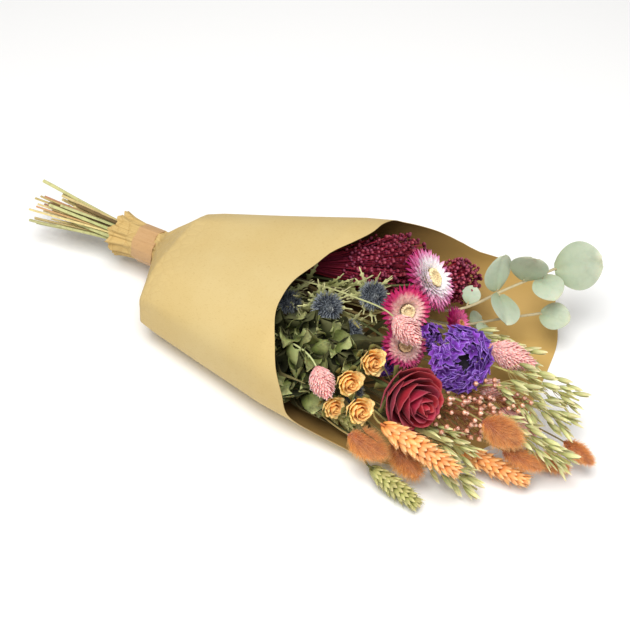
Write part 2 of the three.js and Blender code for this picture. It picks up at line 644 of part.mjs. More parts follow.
// One petal of a cupped bloom. It rises from the middle to its belly and its rim, and its left edge tucks
// inside its neighbour's right edge.
function cupPetal({ turn, span, foot, belly, rim, top, curl, columns, rows, thickness, tuck }) {
  const surface = (u, v) => {
    const across = u - 0.5;
    const open = Math.sin((Math.PI / 2) * Math.min(1, 0.25 + v));
    const angle = radians(turn + span * across * open);
    const round = 1 - 0.18 * v * (2 * across) ** 2;
    const height = (foot + (top - foot) * v * (1.15 - 0.15 * v)) * round;
    const bulge = 2 * v * (1 - v) * belly + v * v * rim + (1 - v) ** 2 * 2;
    const out = bulge * 1.06 + tuck * 2 * across * Math.min(1, v * 2) + curl * Math.max(0, v - 0.66) * 3;
    return vec(out * Math.cos(angle), out * Math.sin(angle), height);
  };
  return blade(surface, columns, rows, thickness);
}

// Rings of petals. A layer gives its belly and rim over the bloom's radius, and its top over its length.
function petalLayers({ length, radius }, common, layers) {
  return layers.flatMap(({ count, first, belly, rim, top, ...rest }) => {
    const petal = { ...common, ...rest, belly: belly * radius, rim: rim * radius, top: top * length };
    return Array.from({ length: count }, (_, k) => cupPetal({ ...petal, turn: first + (360 * k) / count }));
  });
}

function rose(head) {
  const core = turned([[0, 0], [1.4, 3], [8, 9], [8, 24], [0, head.length - 5]], 7);
  const common = { columns: 2, rows: 2, thickness: 1, tuck: 1.4 };
  const layers = [
    { count: 5, first: 0, foot: 4, span: 74, belly: 1, rim: 0.88, top: 0.72, curl: 3.4, columns: 3, rows: 3 },
    { count: 4, first: 40, foot: 11, span: 92, belly: 0.8, rim: 0.68, top: 0.86, curl: 1.6, rows: 3 },
    { count: 3, first: 10, foot: 16, span: 122, belly: 0.58, rim: 0.46, top: 0.95, curl: 0.6 },
    { count: 2, first: 70, foot: 20, span: 178, belly: 0.36, rim: 0.26, top: 1, curl: 0 },
  ];
  return onSeat(head, [core, ...petalLayers(head, common, layers)]);
}

function sprayRose(head) {
  const core = turned([[0, 0], [1.1, 2.5], [head.radius * 0.42, 6], [0, head.length * 0.9]], 5);
  const common = { columns: 2, rows: 2, thickness: BLADE, tuck: 0.8 };
  const layers = [
    { count: 4, first: 20, foot: 2.5, span: 90, belly: 1.02, rim: 0.86, top: 0.78, curl: 1.6 },
    { count: 3, first: 50, foot: 5.5, span: 110, belly: 0.6, rim: 0.46, top: 1, curl: 0.4, rows: 1 },
  ];
  return onSeat(head, [core, ...petalLayers(head, common, layers)]);
}

// Papery pointed bracts in three layers round a low domed disc. The skin runs from the foot out and back over
// every layer, and its width swings between the points of the bracts and the notches between them.
function strawflower(head) {
  const { length, radius } = head;
  const heart = radius * 0.36;
  const around = 2 * BRACTS_AROUND;
  const layers = [
    { tip: radius, notch: radius * 0.62, height: 0.5, root: 0.36 },
    { tip: radius * 0.82, notch: radius * 0.5, height: 0.86, root: 0.52 },
    { tip: radius * 0.52, notch: radius * 0.42, height: 1.06, root: 0.7 },
  ];
  const ring = (out, height, inward, phase) =>
    Array.from({ length: around }, (_, i) => {
      const angle = (2 * Math.PI * i) / around;
      const across = (i + phase) % 2 ? inward : out;
      return vec(across * Math.cos(angle), across * Math.sin(angle), length * height);
    });
  const round = (out, height) => ring(out, height, out, 0);
  const rings = [round(0.3, 0), round(1.2, 0.16), round(heart * 0.8, layers[0].root - 0.06)];
  layers.forEach(({ tip, notch, height, root }, k) => {
    rings.push(ring(tip, height, notch, k), round(heart * (1 - 0.12 * k), root + 0.1));
  });
  return onSeat(head, [skin([...rings, round(heart * 0.5, 0.94)])]);
}

// A round spiny head over a ruff of long narrow bracts. A bract is as long as its neighbours leave room for.
const RUFF = { count: 5, reaches: [27, 22, 17], foot: 7, width: 4, thickness: 1.6, room: 1.4 };

function thistle(head) {
  const { length, radius } = head;
  const [low, high] = [radius * 0.5, length - 3];
  const scales = { sides: 7, rows: 5, widest: 0.5, raise: radius * 0.3, lean: 1 };
  const core = scalyEgg({ low, high, radius: radius * 0.78, ...scales });
  const bracts = [];
  const random = seeded(Math.round(head.at.x));
  for (let k = 0; k < RUFF.count; k++) {
    const turn = (360 * k) / RUFF.count + 14 * random();
    const way = leaning(64 + 20 * random(), turn);
    const root = leaning(90, turn).add(vec(0, 0, 4));
    const out = (reach) => inPlace(head, root.clone().addScaledVector(way, reach));
    const clear = (reach) => isClear(out(RUFF.foot), out(reach), RUFF.room, [head.name, head.plant], true);
    const reach = RUFF.reaches.find(clear);
    if (!reach) continue;
    take(out(RUFF.foot), out(reach), RUFF.room, head.name, true);
    bracts.push(spike(root, way, vec(0, 0, 1), reach, RUFF.width, RUFF.thickness));
  }
  const neck = turned([[0, 0], [1.1, 2.5], [radius * 0.45, low + 3], [0, low + 7]], 5);
  return onSeat(head, [neck, core, ...bracts]);
}

// Frilled papery cups over the rim of a shallow dish.
function statice(head) {
  const { length, radius } = head;
  const rim = [[radius * 0.5, length * 0.48], [radius * 0.6, length * 0.64]];
  const dish = [[0, 0], [1.1, 2.5], ...rim, [0, length * 0.5]];
  const count = Math.round(radius * 0.9);
  const cups = Array.from({ length: count }, (_, k) => {
    const share = Math.sqrt((k + 0.5) / count);
    const turn = k * GOLDEN_ANGLE;
    const tilt = 14 + 74 * share ** 2;
    const out = radius * (0.16 + 0.42 * share);
    const root = leaning(90, turn).multiplyScalar(out).add(vec(0, 0, length * (0.5 - 0.1 * share)));
    const size = radius > 14 ? 1.25 : 1;
    const cup = turned([[0, 0], [4.4 * size, 8 * size], [0, 4.6 * size]], 5);
    return pose(cup, root, leaning(tilt, turn));
  });
  return onSeat(head, [turned(dish, 8), ...cups]);
}

// Ears and tails that are one with their stalk

const SINK = 3; // how deep the foot of an ear is sunk into the end of its stalk
const onStalk = (head, line, pieces) =>
  fuse([
    stalkTube(line.points, line.radius),
    ...pieces.map((piece) => pose(piece, head.at.clone().addScaledVector(head.to, -SINK), head.to)),
  ]);

// A dense body of overlapping scales, grains or bristles up the end of the stalk.
function ear(head, line) {
  const { length, radius } = head;
  const { sides, rowLength, plump, widest, raise, lean, blunt } = EARS[head.kind];
  const rows = Math.round(length / rowLength);
  const high = length + SINK - blunt;
  const scales = { sides, rows, widest, raise: radius * raise, lean };
  return onStalk(head, line, [scalyEgg({ low: 0, high, radius: radius * plump, ...scales })]);
}

// A branchlet that ends in a husk of two pointed glumes, one of them longer.
const HUSK = { length: 19, radius: 2.3, room: 3 };
const BRANCHLET = { radius: 0.65, room: 0.7 };

function spikelet(a, b, tip) {
  const way = tip.clone().sub(b);
  const side = way.clone().cross(vec(0, 0, 1)).normalize();
  const up = side.clone().cross(way).normalize();
  const ring = (middle, radius) =>
    [90, 330, 210].map((turn) => {
      const [c, s] = [Math.cos(radians(turn)), Math.sin(radians(turn))];
      return middle.clone().addScaledVector(side, radius * c).addScaledVector(up, radius * s);
    });
  const belly = b.clone().lerp(tip, 0.4);
  const { radius } = BRANCHLET;
  const husk = skin([ring(a, radius), ring(b, radius), ring(belly, HUSK.radius), ring(tip, 0.3)]);
  const other = way.clone().normalize().addScaledVector(side, 0.36);
  return [husk, spike(b.clone().lerp(tip, 0.3), other, up, way.length() * 0.52, 2.6, 1.6)];
}

// Drooping spikelets, each of two pointed glumes, hang on fine branchlets along the end of the stalk.
function oat(head, line) {
  const random = seeded(Math.round(head.at.x * 3 + head.at.y));
  const { length, radius } = head;
  const pieces = [];
  const axis = (s) => inPlace(head, vec(0, 0, s));
  const straight = rod(axis(-SINK), axis(length * AXIS_SHARE), 1);
  const wanted = Math.round(length / 18.5);
  for (let k = 0, placed = 0; k < 26 && placed < wanted; k++) {
    const s = length * (0.04 + 0.68 * ((k % 9) / 8));
    const turn = k * GOLDEN_ANGLE;
    const out = leaning(34 + 20 * random(), turn);
    const stemLength = radius * (0.35 + 0.4 * random());
    const [from, end] = [vec(0, 0, s), vec(0, 0, s).addScaledVector(out, stemLength)];
    const way = leaning(8 + 22 * random(), turn);
    const tip = end.clone().addScaledVector(way, HUSK.length);
    const [a, b, c] = [from, end, tip].map((p) => inPlace(head, p));
    if (!isClear(a.clone().lerp(b, 0.3), b, BRANCHLET.room, [head.name])) continue;
    if (!isClear(b, c, HUSK.room, [head.name], true)) continue;
    take(a, b, BRANCHLET.room, head.name);
    take(b, c, HUSK.room, head.name, true);
    placed++;
    pieces.push(...spikelet(a, b, c));
  }
  return fuse([stalkTube(line.points, line.radius), straight, ...pieces]);
}

// Round seed cases on fine branchlets.
const SEED_CASE = { length: 6.4, width: 6, room: 3.3 };

function flax(head, line) {
  const { length, radius } = head;
  const axis = (s) => inPlace(head, vec(0, 0, s));
  const pieces = [rod(axis(-SINK), axis(length * AXIS_SHARE), 1.1)];
  for (let k = 0, placed = 0; k < 70 && placed < 13; k++) {
    const s = length * (0.3 + 0.7 * ((k * 0.618) % 1));
    const turn = k * GOLDEN_ANGLE;
    const out = radius * (0.3 + 0.7 * ((k * 0.377) % 1));
    const end = leaning(90, turn).multiplyScalar(out).add(vec(0, 0, s));
    const from = vec(0, 0, Math.max(2, Math.min(s - out * 1.1, length * (AXIS_SHARE - 0.03))));
    const [a, b] = [inPlace(head, from), inPlace(head, end)];
    if (!isClear(a.clone().lerp(b, 0.25), b, BRANCHLET.room, [head.name])) continue;
    if (!isClear(b, b, SEED_CASE.room, [head.name], true)) continue;
    take(b, b, SEED_CASE.room, head.name, true);
    take(a, b, BRANCHLET.room, head.name);
    placed++;
    pieces.push(rod(a, b, BRANCHLET.radius), grain(b, b.clone().sub(a), SEED_CASE.length, SEED_CASE.width));
  }
  return fuse([stalkTube(line.points, line.radius), ...pieces]);
}

// A dense bunch of small fruits, with branchlets that stand out of it and end in fruits of their own.
const FRUIT = { length: 7, width: 5.6, room: 3 };

function broom(head, line) {
  const { length, radius } = head;
  const axis = (s) => inPlace(head, vec(0, 0, s));
  const fruits = { sides: 8, rows: 7, widest: 0.55, raise: 3.4, lean: 2 };
  const bunch = scalyEgg({ low: length * 0.3, high: length * 0.92, radius: radius * 0.66, ...fruits });
  const pieces = [rod(axis(-SINK), axis(length * AXIS_SHARE), AXIS_RADIUS), pose(bunch, head.at, head.to)];
  const wanted = Math.round(length / 9);
  for (let k = 0, placed = 0; k < 90 && placed < wanted; k++) {
    const s = length * (0.5 + 0.5 * ((k * 0.618) % 1));
    const turn = k * GOLDEN_ANGLE;
    const out = radius * (0.4 + 0.6 * Math.sqrt((k * 0.377) % 1));
    const end = leaning(90, turn).multiplyScalar(out).add(vec(0, 0, s));
    const from = vec(0, 0, Math.max(2, Math.min(s - length * 0.38, length * (AXIS_SHARE - 0.03))));
    const [a, b] = [inPlace(head, from), inPlace(head, end)];
    const half = a.clone().lerp(b, 0.45);
    if (!isClear(a.clone().lerp(b, 0.15), half, BRANCHLET.room, [head.name])) continue;
    if (!isClear(half, b, FRUIT.room, [head.name], true)) continue;
    take(a, b, BRANCHLET.room, head.name);
    take(half, b, FRUIT.room, head.name, true);
    placed++;
    pieces.push(rod(a, b, BRANCHLET.radius));
    for (const share of [0.62, 1]) {
      pieces.push(grain(a.clone().lerp(b, share), b.clone().sub(a), FRUIT.length, FRUIT.width));
    }
  }
  return fuse([stalkTube(line.points, line.radius), ...pieces]);
}

// A leaf from its foot: length, width, the way it points and the way its upper face looks.
function leaf({ root, way, face, length, width, cup, columns, rows, foot }) {
  const z = way.clone().normalize();
  const y = face.clone().addScaledVector(z, -face.dot(z)).normalize();
  const x = z.clone().cross(y);
  const surface = (u, v) => {
    const half = (width / 2) * Math.max(foot, Math.sin(Math.PI * Math.min(1, 0.06 + 0.9 * v)) ** 0.7);
    const across = (2 * u - 1) * half;
    const rise = cup * ((2 * u - 1) ** 2 * 0.5 + 1.4 * v * (1 - v));
    return root.clone().addScaledVector(x, across).addScaledVector(z, length * v).addScaledVector(y, rise);
  };
  return blade(surface, columns, rows, BLADE);
}

// Leaves up the end of a stem: the large ones first, then smaller ones where there is still room.
const LEAF = { count: 7, width: 0.72, tries: [[80, 1.1], [200, 0.85], [400, 0.65]], room: 2.4 };
// Three lines along a leaf: how far each stands to its side, and where along the leaf it starts and ends.
const RIBS = [[0, 0.2, 1], [0.26, 0.35, 0.8], [-0.26, 0.35, 0.8]];

function leafy(head, line) {
  const random = seeded(Math.round(head.at.x + head.at.z * 5));
  const { length, radius } = head;
  const axis = (s) => inPlace(head, vec(0, 0, s));
  const pieces = [rod(axis(-SINK), axis(length * AXIS_SHARE), AXIS_RADIUS)];
  for (let k = 0, placed = 0; k < LEAF.tries.at(-1)[0] && placed < LEAF.count; k++) {
    const root = vec(0, 0, length * (0.02 + (AXIS_SHARE - 0.04) * ((k * 0.618) % 1)));
    const turn = k * GOLDEN_ANGLE;
    const way = leaning(36 + 34 * random(), turn);
    const size = radius * LEAF.tries.find(([last]) => k < last)[1];
    const ribPoint = (side, share) => {
      const aside = leaning(90, turn + 90).multiplyScalar(size * side);
      return inPlace(head, root.clone().addScaledVector(way, size * share).add(aside));
    };
    const ribs = RIBS.map(([side, from, to]) => [ribPoint(side, from), ribPoint(side, to)]);
    if (!ribs.every(([a, b]) => isClear(a, b, LEAF.room, [head.name], true))) continue;
    ribs.forEach(([a, b]) => take(a, b, 1.6, head.name, true));
    placed++;
    const shape = { length: size, width: size * LEAF.width, cup: 2, columns: 2, rows: 2, foot: 0.16 };
    pieces.push(pose(leaf({ root, way, face: leaning(38, turn + 180), ...shape }), head.at, head.to));
  }
  return fuse([stalkTube(line.points, line.radius), ...pieces]);
}

// Round leaves on a thin woody branch: how far along it each stands, the way it points, the way its face
// looks and its diameter, all in the bouquet's own directions.
const EUCALYPTUS_LEAVES = {
  eucalyptus_1: [
    { along: 0.1, way: [-0.1, 0.9, 0.4], face: [0.3, -0.4, 0.85], size: 20 },
    { along: 0.4, way: [-0.05, 0.3, 0.95], face: [0.9, -0.3, 0.2], size: 38 },
    { along: 0.42, way: [0.6, -0.76, -0.2], face: [0.5, 0.1, 0.75], size: 36 },
    { along: 0.66, way: [0.25, -0.1, 0.95], face: [0.4, -0.85, 0.3], size: 38 },
    { along: 0.84, way: [0.75, -0.65, -0.1], face: [0.2, -0.4, 0.85], size: 32 },
    { along: 0.96, way: [0.85, 0.2, 0.45], face: [0.25, -0.6, 0.74], size: 48 },
  ],
  eucalyptus_2: [
    { along: 0.12, way: [0.2, 0.8, -0.35], face: [0.4, -0.3, 0.85], size: 22 },
    { along: 0.3, way: [0.55, -0.8, 0.1], face: [0.5, 0.2, 0.85], size: 22 },
    { along: 0.96, way: [0.9, 0.1, 0.1], face: [0.1, -0.4, 0.9], size: 30 },
  ],
};

function eucalyptus(head, line) {
  const axis = (s) => inPlace(head, vec(0, 0, s));
  const pieces = [rod(axis(-SINK), axis(head.length), AXIS_RADIUS, 4)];
  take(axis(0), axis(head.length), AXIS_RADIUS, head.name);
  for (const { along: share, way, face, size } of EUCALYPTUS_LEAVES[head.name]) {
    const [toward, look] = [vec(...way).normalize(), vec(...face).normalize()];
    const root = axis(head.length * share);
    const [a, b] = [root.clone().addScaledVector(toward, 4), root.clone().addScaledVector(toward, size)];
    take(a, b, size * 0.3, head.name);
    const shape = { length: size, width: size, cup: 2, columns: 2, rows: 3, foot: 0.12 };
    pieces.push(leaf({ root, way: toward, face: look, ...shape }));
  }
  return fuse([stalkTube(line.points, line.radius), ...pieces]);
}

// The bouquet put together

const FINISH = {
  paper: { color: 0xdcbf83, roughness: 0.72 },
  tape: { color: 0xcfa777, roughness: 0.6 },
  rose: { color: 0x6d1525, roughness: 0.75 },
  sprayRose: { color: 0xe9b66c, roughness: 0.8 },
  strawflower: { color: 0xc94a80, roughness: 0.45 },
  thistle: { color: 0x66737f, roughness: 0.8 },
  broom: { color: 0x5d1226, roughness: 0.7 },
  statice: { color: 0x5a33b0, roughness: 0.75 },
  phalaris: { color: 0xe58a8f, roughness: 0.8 },
  wheat: { color: 0xe2a05c, roughness: 0.6 },
  greenWheat: { color: 0x9fa262, roughness: 0.6 },
  bunnyTail: { color: 0xb97442, roughness: 0.95 },
  oat: { color: 0xb9b77a, roughness: 0.6 },
  flax: { color: 0xd9a58a, roughness: 0.35 },
  leafy: { color: 0x66723a, roughness: 0.75 },
  eucalyptus: { color: 0xa9b5a0, roughness: 0.55 },
  stalk: { color: 0xa08c55, roughness: 0.7 },
};

function named(name, geometry, finish) {
  const mesh = new THREE.Mesh(geometry, new THREE.MeshStandardMaterial({ ...finish, metalness: 0 }));
  mesh.name = name;
  return mesh;
}

const random = seeded(41);
const heads = HEADS.map(([name, kind, at, to, length, radius, plant = name]) => {
  return { name, kind, plant, length, radius, at: vec(...at), to: vec(...to).normalize() };
});
settleHeads(heads);
const lines = makeLines(heads, random);
settleLines(lines, heads);
heads.forEach((head) => bulkInPlace(head).forEach(({ a, b, radius }) => take(a, b, radius, head.name)));
lines.forEach(takeLine);

// Solid blooms first, then what fills the room between them.
const SHAPES = {
  rose, sprayRose, strawflower, statice, phalaris: ear, wheat: ear, bunnyTail: ear, eucalyptus, thistle,
  broom, oat, flax, leafy,
};
const bouquet = new THREE.Group();
bouquet.add(named("paper_wrapper", paperWrap(), FINISH.paper), named("neck_tape", neckTape(), FINISH.tape));
for (const [kind, shape] of Object.entries(SHAPES)) {
  for (const head of heads.filter((h) => h.kind === kind)) {
    const line = lines.find((l) => l.head === head);
    const finish = ["wheat_3", "wheat_4"].includes(head.name) ? FINISH.greenWheat : FINISH[kind];
    bouquet.add(named(head.name, shape(head, line), finish));
  }
}

// The stalks of the blooms that have a colour of their own. A branch starts inside the end of its trunk.
function stemTube({ points, radius, trunk }) {
  if (!trunk) return stalkTube(points, radius);
  const [before, fork] = trunk.points.slice(-2);
  const root = fork.clone().lerp(before, FORK_SINK / fork.distanceTo(before));
  return stalkTube([root, ...points], radius);
}

const standsOff = ["rose", "strawflower", "sprayRose", "thistle", "statice"];
const plants = new Set(heads.filter((h) => standsOff.includes(h.kind)).map((h) => h.plant));
for (const plant of plants) {
  const tubes = lines.filter((l) => l.key === plant).map(stemTube);
  bouquet.add(named(`${plant.replace(/_(bloom|head)/, "")}_stem`, fuse(tubes), FINISH.stalk));
}

const span = new THREE.Box3().setFromObject(bouquet);
const centre = span.getCenter(vec(0, 0, 0));
bouquet.position.set(-centre.x, -centre.y, -span.min.z);

export default bouquet;
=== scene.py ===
# A mixed bouquet of dried flowers in its kraft paper wrap, lying on a table.
# Metres. The stalks run along X, with their cut ends at -X and the blooms at +X, and Z is up.
import bpy
import numpy as np
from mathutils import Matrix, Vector


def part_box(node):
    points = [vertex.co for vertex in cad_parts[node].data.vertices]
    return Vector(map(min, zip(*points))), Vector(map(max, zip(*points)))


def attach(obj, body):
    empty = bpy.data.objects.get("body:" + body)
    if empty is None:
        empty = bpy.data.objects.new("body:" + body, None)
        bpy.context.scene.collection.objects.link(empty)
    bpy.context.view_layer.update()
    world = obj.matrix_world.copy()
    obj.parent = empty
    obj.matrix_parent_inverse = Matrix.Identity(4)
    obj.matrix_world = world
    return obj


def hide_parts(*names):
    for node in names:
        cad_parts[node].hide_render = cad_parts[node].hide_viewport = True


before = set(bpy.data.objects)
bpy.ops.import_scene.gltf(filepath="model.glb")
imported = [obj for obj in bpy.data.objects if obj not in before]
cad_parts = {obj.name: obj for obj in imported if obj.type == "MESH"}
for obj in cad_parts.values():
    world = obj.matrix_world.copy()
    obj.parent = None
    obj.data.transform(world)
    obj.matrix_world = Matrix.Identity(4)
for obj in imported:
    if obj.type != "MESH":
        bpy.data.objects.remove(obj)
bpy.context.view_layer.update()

# The paper wrap. One sheet of coated kraft paper is rolled into a sleeve round the stalks, squeezed together
# under the tape, and left as a crumpled frill behind it. It lies flat where it touches the table.

MM = 0.001
TAPE_LOW, TAPE_HIGH = (np.array(corner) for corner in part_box("neck_tape"))
TIE = (TAPE_LOW + TAPE_HIGH) / 2  # the middle of the gathered neck
TABLE_SPOT = np.array([TIE[0], TIE[1], 0])  # the point of the table under it
SHARP_EDGE = 0.95  # radians between two faces from which an edge looks sharp

# The sleeve's section: distance from the tie, half widths to the near and the far side, lowest and highest
SLEEVE = np.array([
    [-39, 22, 21, 14, 56],
    [-28, 18.5, 18, 17, 53],
    [-14, 17, 17, 18, 52],
    [14, 17, 17, 18, 52],
    [31, 52, 30, 6, 66],
    [46, 85, 44, -2, 78],
    [190, 117, 98, -5, 106],
    [300, 130, 140, -5, 116],
    [400, 137, 168, -5, 120],
]) * MM
# Where the sheet ends, by the angle round the section: 0 is the far side and 90 the top
SHEET_EDGE = np.array([
    [-90, 394], [-72, 388], [-55, 380], [-40, 370], [-25, 360], [-9, 346], [-4, 302], [1, 271], [6, 257],
    [12, 246], [20, 232], [30, 218], [56, 214], [70, 211], [80, 203], [90, 191], [100, 182], [114, 184],
    [131, 194], [151, 206], [177, 220], [203, 240], [212, 285], [235, 338], [250, 364], [270, 394],
])
SHOULDER = 46 * MM  # from the tie to where the sleeve has opened
SQUARENESS = 2.9  # the power of the open sleeve's superellipse: 2 is round, and more is squarer
ROUND_TO, SQUARE_FROM = 14 * MM, 60 * MM  # from the tie: the neck is round, the sleeve is square
SHEET = 0.45 * MM
# Depths by the distance from the tie: of the pleats, of the fine wrinkles on them and of the broad dents
PLEAT_DEPTH = np.array([[-50, 3.0], [-30, 2.0], [-13, 0.9], [13, 0.9], [30, 1.7], [46, 0.9], [120, 0]]) * MM
WRINKLE_DEPTH = np.array([[-50, 0.9], [-25, 0.6], [0, 0.35], [25, 0.5], [50, 0]]) * MM
DENT_DEPTH = np.array([[30, 0], [80, 0.6], [400, 2.2]]) * MM
# How crushed the paper is, by the distance from the tie in millimetres: it sets the folds' relief and their
# painted shade
CRUSH = np.array([[-60, 0.9], [-12, 0.8], [12, 0.6], [40, 0.35], [90, 0]])
# Between these two distances the inside of the sleeve is darkened: painted shade.
DEEPEST_SHADE_INSIDE, SHADE_ENDS_INSIDE = 170 * MM, 320 * MM  # from the tie to where the inside is darkest and palest


def tint(red, green, blue):
    """A screen colour, 0 to 255, as the linear colour that shaders take."""
    share = np.array([red, green, blue]) / 255
    linear = np.where(share < 0.04045, share / 12.92, ((share + 0.055) / 1.055) ** 2.4)
    return (*(float(c) for c in linear), 1.0)


def unit(vectors):
    """Vectors over their own length, so that each is 1 long."""
    return vectors / np.maximum(np.linalg.norm(vectors, axis=-1, keepdims=True), 1e-12)


def smooth_read(table, places):
    """A curve through a table's points: a cubic between two of them, with each point's slope from its
    neighbours, held low enough that the curve doesn't swing past a point."""
    xs, ys = table[:, 0], table[:, 1]
    steps = np.diff(ys) / np.diff(xs)
    limit = 2.5 * np.minimum(np.abs(np.append(steps, steps[-1])), np.abs(np.insert(steps, 0, steps[0])))
    slopes = np.clip(np.gradient(ys, xs), -limit, limit)
    k = np.clip(np.searchsorted(xs, places) - 1, 0, len(xs) - 2)
    width = xs[k + 1] - xs[k]
    t = np.clip((places - xs[k]) / width, 0, 1)
    start = ys[k] * (1 + 2 * t) * (1 - t) ** 2 + slopes[k] * width * t * (1 - t) ** 2
    end = ys[k + 1] * t ** 2 * (3 - 2 * t) + slopes[k + 1] * width * t ** 2 * (t - 1)
    return start + end


def ripple(points, size, seed, waves=7):
    """Smooth random heights from -1 to 1: a sum of sine waves that run in random directions, about `size`
    long."""
    rng = np.random.default_rng(seed)
    ways = unit(rng.normal(size=(waves, 3))) * rng.uniform(0.6, 1.6, (waves, 1)) * 2 * np.pi / size
    phases = rng.uniform(0, 2 * np.pi, waves)
    return np.sin(points @ ways.T + phases).sum(-1) / waves ** 0.5 / 1.4


def grid_faces(rows, columns, round_about=False):
    """The quads of a grid of points, numbered row by row. Round about, the last column meets the first."""
    row = np.arange(rows - 1)[:, None] * columns
    left = np.arange(columns if round_about else columns - 1)[None]
    right = (left + 1) % columns
    return np.stack([row + left, row + right, row + right + columns, row + left + columns], -1).reshape(-1, 4)


def part(points, faces, finish, along=0.5, across=0.5, tone=0.5):
    """Points, lists of faces and a finish, with three values for each point: how far it lies along and across
    its petal, leaf or stalk, and a tone that differs from one copy to the next."""
    points = np.asarray(points, float).reshape(-1, 3)
    values = {"along": along, "across": across, "tone": tone}
    for key, value in values.items():
        flat = np.ravel(value)
        values[key] = np.broadcast_to(flat, len(points)) if flat.size == 1 else flat
    return {"points": points, "faces": faces, "finish": finish, **values}


def add_piece(name, parts, solid):
    """Makes one mesh of the parts. It rides on the bouquet and stands for the named solid."""
    starts = np.cumsum([0] + [len(p["points"]) for p in parts])
    finishes = list(dict.fromkeys(p["finish"].name for p in parts))
    corners, sizes, finish_of = [], [], []
    for p, start in zip(parts, starts):
        for faces in p["faces"]:
            corners.append((faces + start).ravel())
            sizes.append(np.full(len(faces), faces.shape[1]))
            finish_of.append(np.full(len(faces), finishes.index(p["finish"].name)))
    lists = (corners, sizes, finish_of)
    corners, sizes, finish_of = (np.concatenate(values).astype(np.int32) for values in lists)
    mesh = bpy.data.meshes.new(name)
    mesh.vertices.add(starts[-1])
    points = np.concatenate([p["points"] for p in parts])
    points[:, 2] = np.maximum(points[:, 2], 0)  # nothing reaches through the table
    mesh.vertices.foreach_set("co", points.astype(np.float32).ravel())
    mesh.loops.add(len(corners))
    mesh.loops.foreach_set("vertex_index", corners)
    mesh.polygons.add(len(sizes))
    mesh.polygons.foreach_set("loop_start", (np.cumsum(sizes) - sizes).astype(np.int32))
    for finish in finishes:
        mesh.materials.append(bpy.data.materials[finish])
    mesh.polygons.foreach_set("material_index", finish_of)
    for key in ("along", "across", "tone"):
        values = np.concatenate([p[key] for p in parts]).astype(np.float32)
        mesh.attributes.new(key, "FLOAT", "POINT").data.foreach_set("value", values)
    mesh.update(calc_edges=True)
    mesh.shade_smooth()
    mesh.set_sharp_from_angle(angle=SHARP_EDGE)
    piece = bpy.data.objects.new(name, mesh)
    bpy.context.scene.collection.objects.link(piece)
    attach(piece, "root")
    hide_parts(solid)


def new_group(name, inputs, outputs):
    """An empty shader group with its named sockets, each given as (name, kind, value)."""
    group = bpy.data.node_groups.new(name, "ShaderNodeTree")
    for label, kind, value in inputs:
        group.interface.new_socket(label, in_out="INPUT", socket_type=kind).default_value = value
    for label, kind in outputs:
        group.interface.new_socket(label, in_out="OUTPUT", socket_type=kind)
    return group, group.nodes.new("NodeGroupInput"), group.nodes.new("NodeGroupOutput")


def node(tree, kind, settings=None, **inputs):
    """Adds a shader node. An input is a value, or an output socket that is joined to it; _ stands for a
    space, and in0, in1 and so on are inputs by their number."""
    made = tree.nodes.new(kind)
    for key, value in (settings or {}).items():
        setattr(made, key, value)
    for key, value in inputs.items():
        numbered = key[:2] == "in" and key[2:].isdigit()
        socket = made.inputs[int(key[2:])] if numbered else made.inputs[key.replace("_", " ")]
        if isinstance(value, bpy.types.NodeSocket):
            tree.links.new(value, socket)
        else:
            socket.default_value = value
    return made


def math_node(tree, operation, first, second=0.0, third=0.0):
    """The result of one operation on up to three values."""
    return node(tree, "ShaderNodeMath", {"operation": operation}, in0=first, in1=second, in2=third).outputs[0]


def attribute(tree, name):
    """The value of this name that the mesh carries."""
    return node(tree, "ShaderNodeAttribute", {"attribute_name": name}).outputs["Fac"]


def object_place(tree):
    """The place on the bouquet, in metres."""
    return node(tree, "ShaderNodeTexCoord").outputs["Object"]


def noise(tree, place, scale, detail, rough=0.5):
    """A cloudy noise from 0 to 1."""
    settings = {"Vector": place, "Scale": scale, "Detail": detail, "Roughness": rough}
    return node(tree, "ShaderNodeTexNoise", **settings).outputs[0]


def remap(tree, value, low, high, to_low=0.0, to_high=1.0):
    """A value from low to high, spread out from to_low to to_high and held there."""
    ends = {"From_Min": low, "From_Max": high, "To_Min": to_low, "To_Max": to_high}
    return node(tree, "ShaderNodeMapRange", Value=value, **ends).outputs[0]


def mixed(tree, share, first, second, blend="MIX"):
    """A colour mix of two colours or sockets."""
    settings = {"data_type": "RGBA", "blend_type": blend}
    return node(tree, "ShaderNodeMix", settings, in0=share, in6=first, in7=second).outputs[2]


def new_finish(name, **constants):
    """A material whose Principled shader has the given constant inputs. Gives back the material, its tree and
    its shader."""
    material = bpy.data.materials.new(name)
    material.use_nodes = True
    shader = material.node_tree.nodes["Principled BSDF"]
    for key, value in constants.items():
        shader.inputs[key.replace("_", " ")].default_value = value
    return material, material.node_tree, shader


def bump_into(tree, shader, height, strength, distance):
    """Gives a shader the fine relief of a height: its strength, and in metres how deep a height of 1 is."""
    bump = node(tree, "ShaderNodeBump", Height=height, Strength=strength, Distance=distance)
    tree.links.new(bump.outputs[0], shader.inputs["Normal"])


# Fibres and flecks of kraft pulp: a tint from broad clouds and thin fibres, and a fine height.
pulp, pulp_in, pulp_out = new_group(
    "kraft_pulp",
    [("Light", "NodeSocketColor", (1, 1, 1, 1)), ("Dark", "NodeSocketColor", (0, 0, 0, 1))],
    [("Color", "NodeSocketColor"), ("Height", "NodeSocketFloat")],
)
pulp_at = object_place(pulp)
clouds = noise(pulp, pulp_at, 9.0, 4.0, 0.6)
stretched = node(pulp, "ShaderNodeMapping", Vector=pulp_at, Scale=(260, 1500, 1500)).outputs[0]
fibres = noise(pulp, stretched, 1.0, 3.0)
grain_noise = noise(pulp, pulp_at, 1300.0, 2.0)
cloud_share = remap(pulp, clouds, 0.35, 0.7)
fibre_share = remap(pulp, fibres, 0.58, 0.72, 0.0, 0.3)
pulp_tint = mixed(pulp, cloud_share, pulp_in.outputs["Light"], pulp_in.outputs["Dark"])
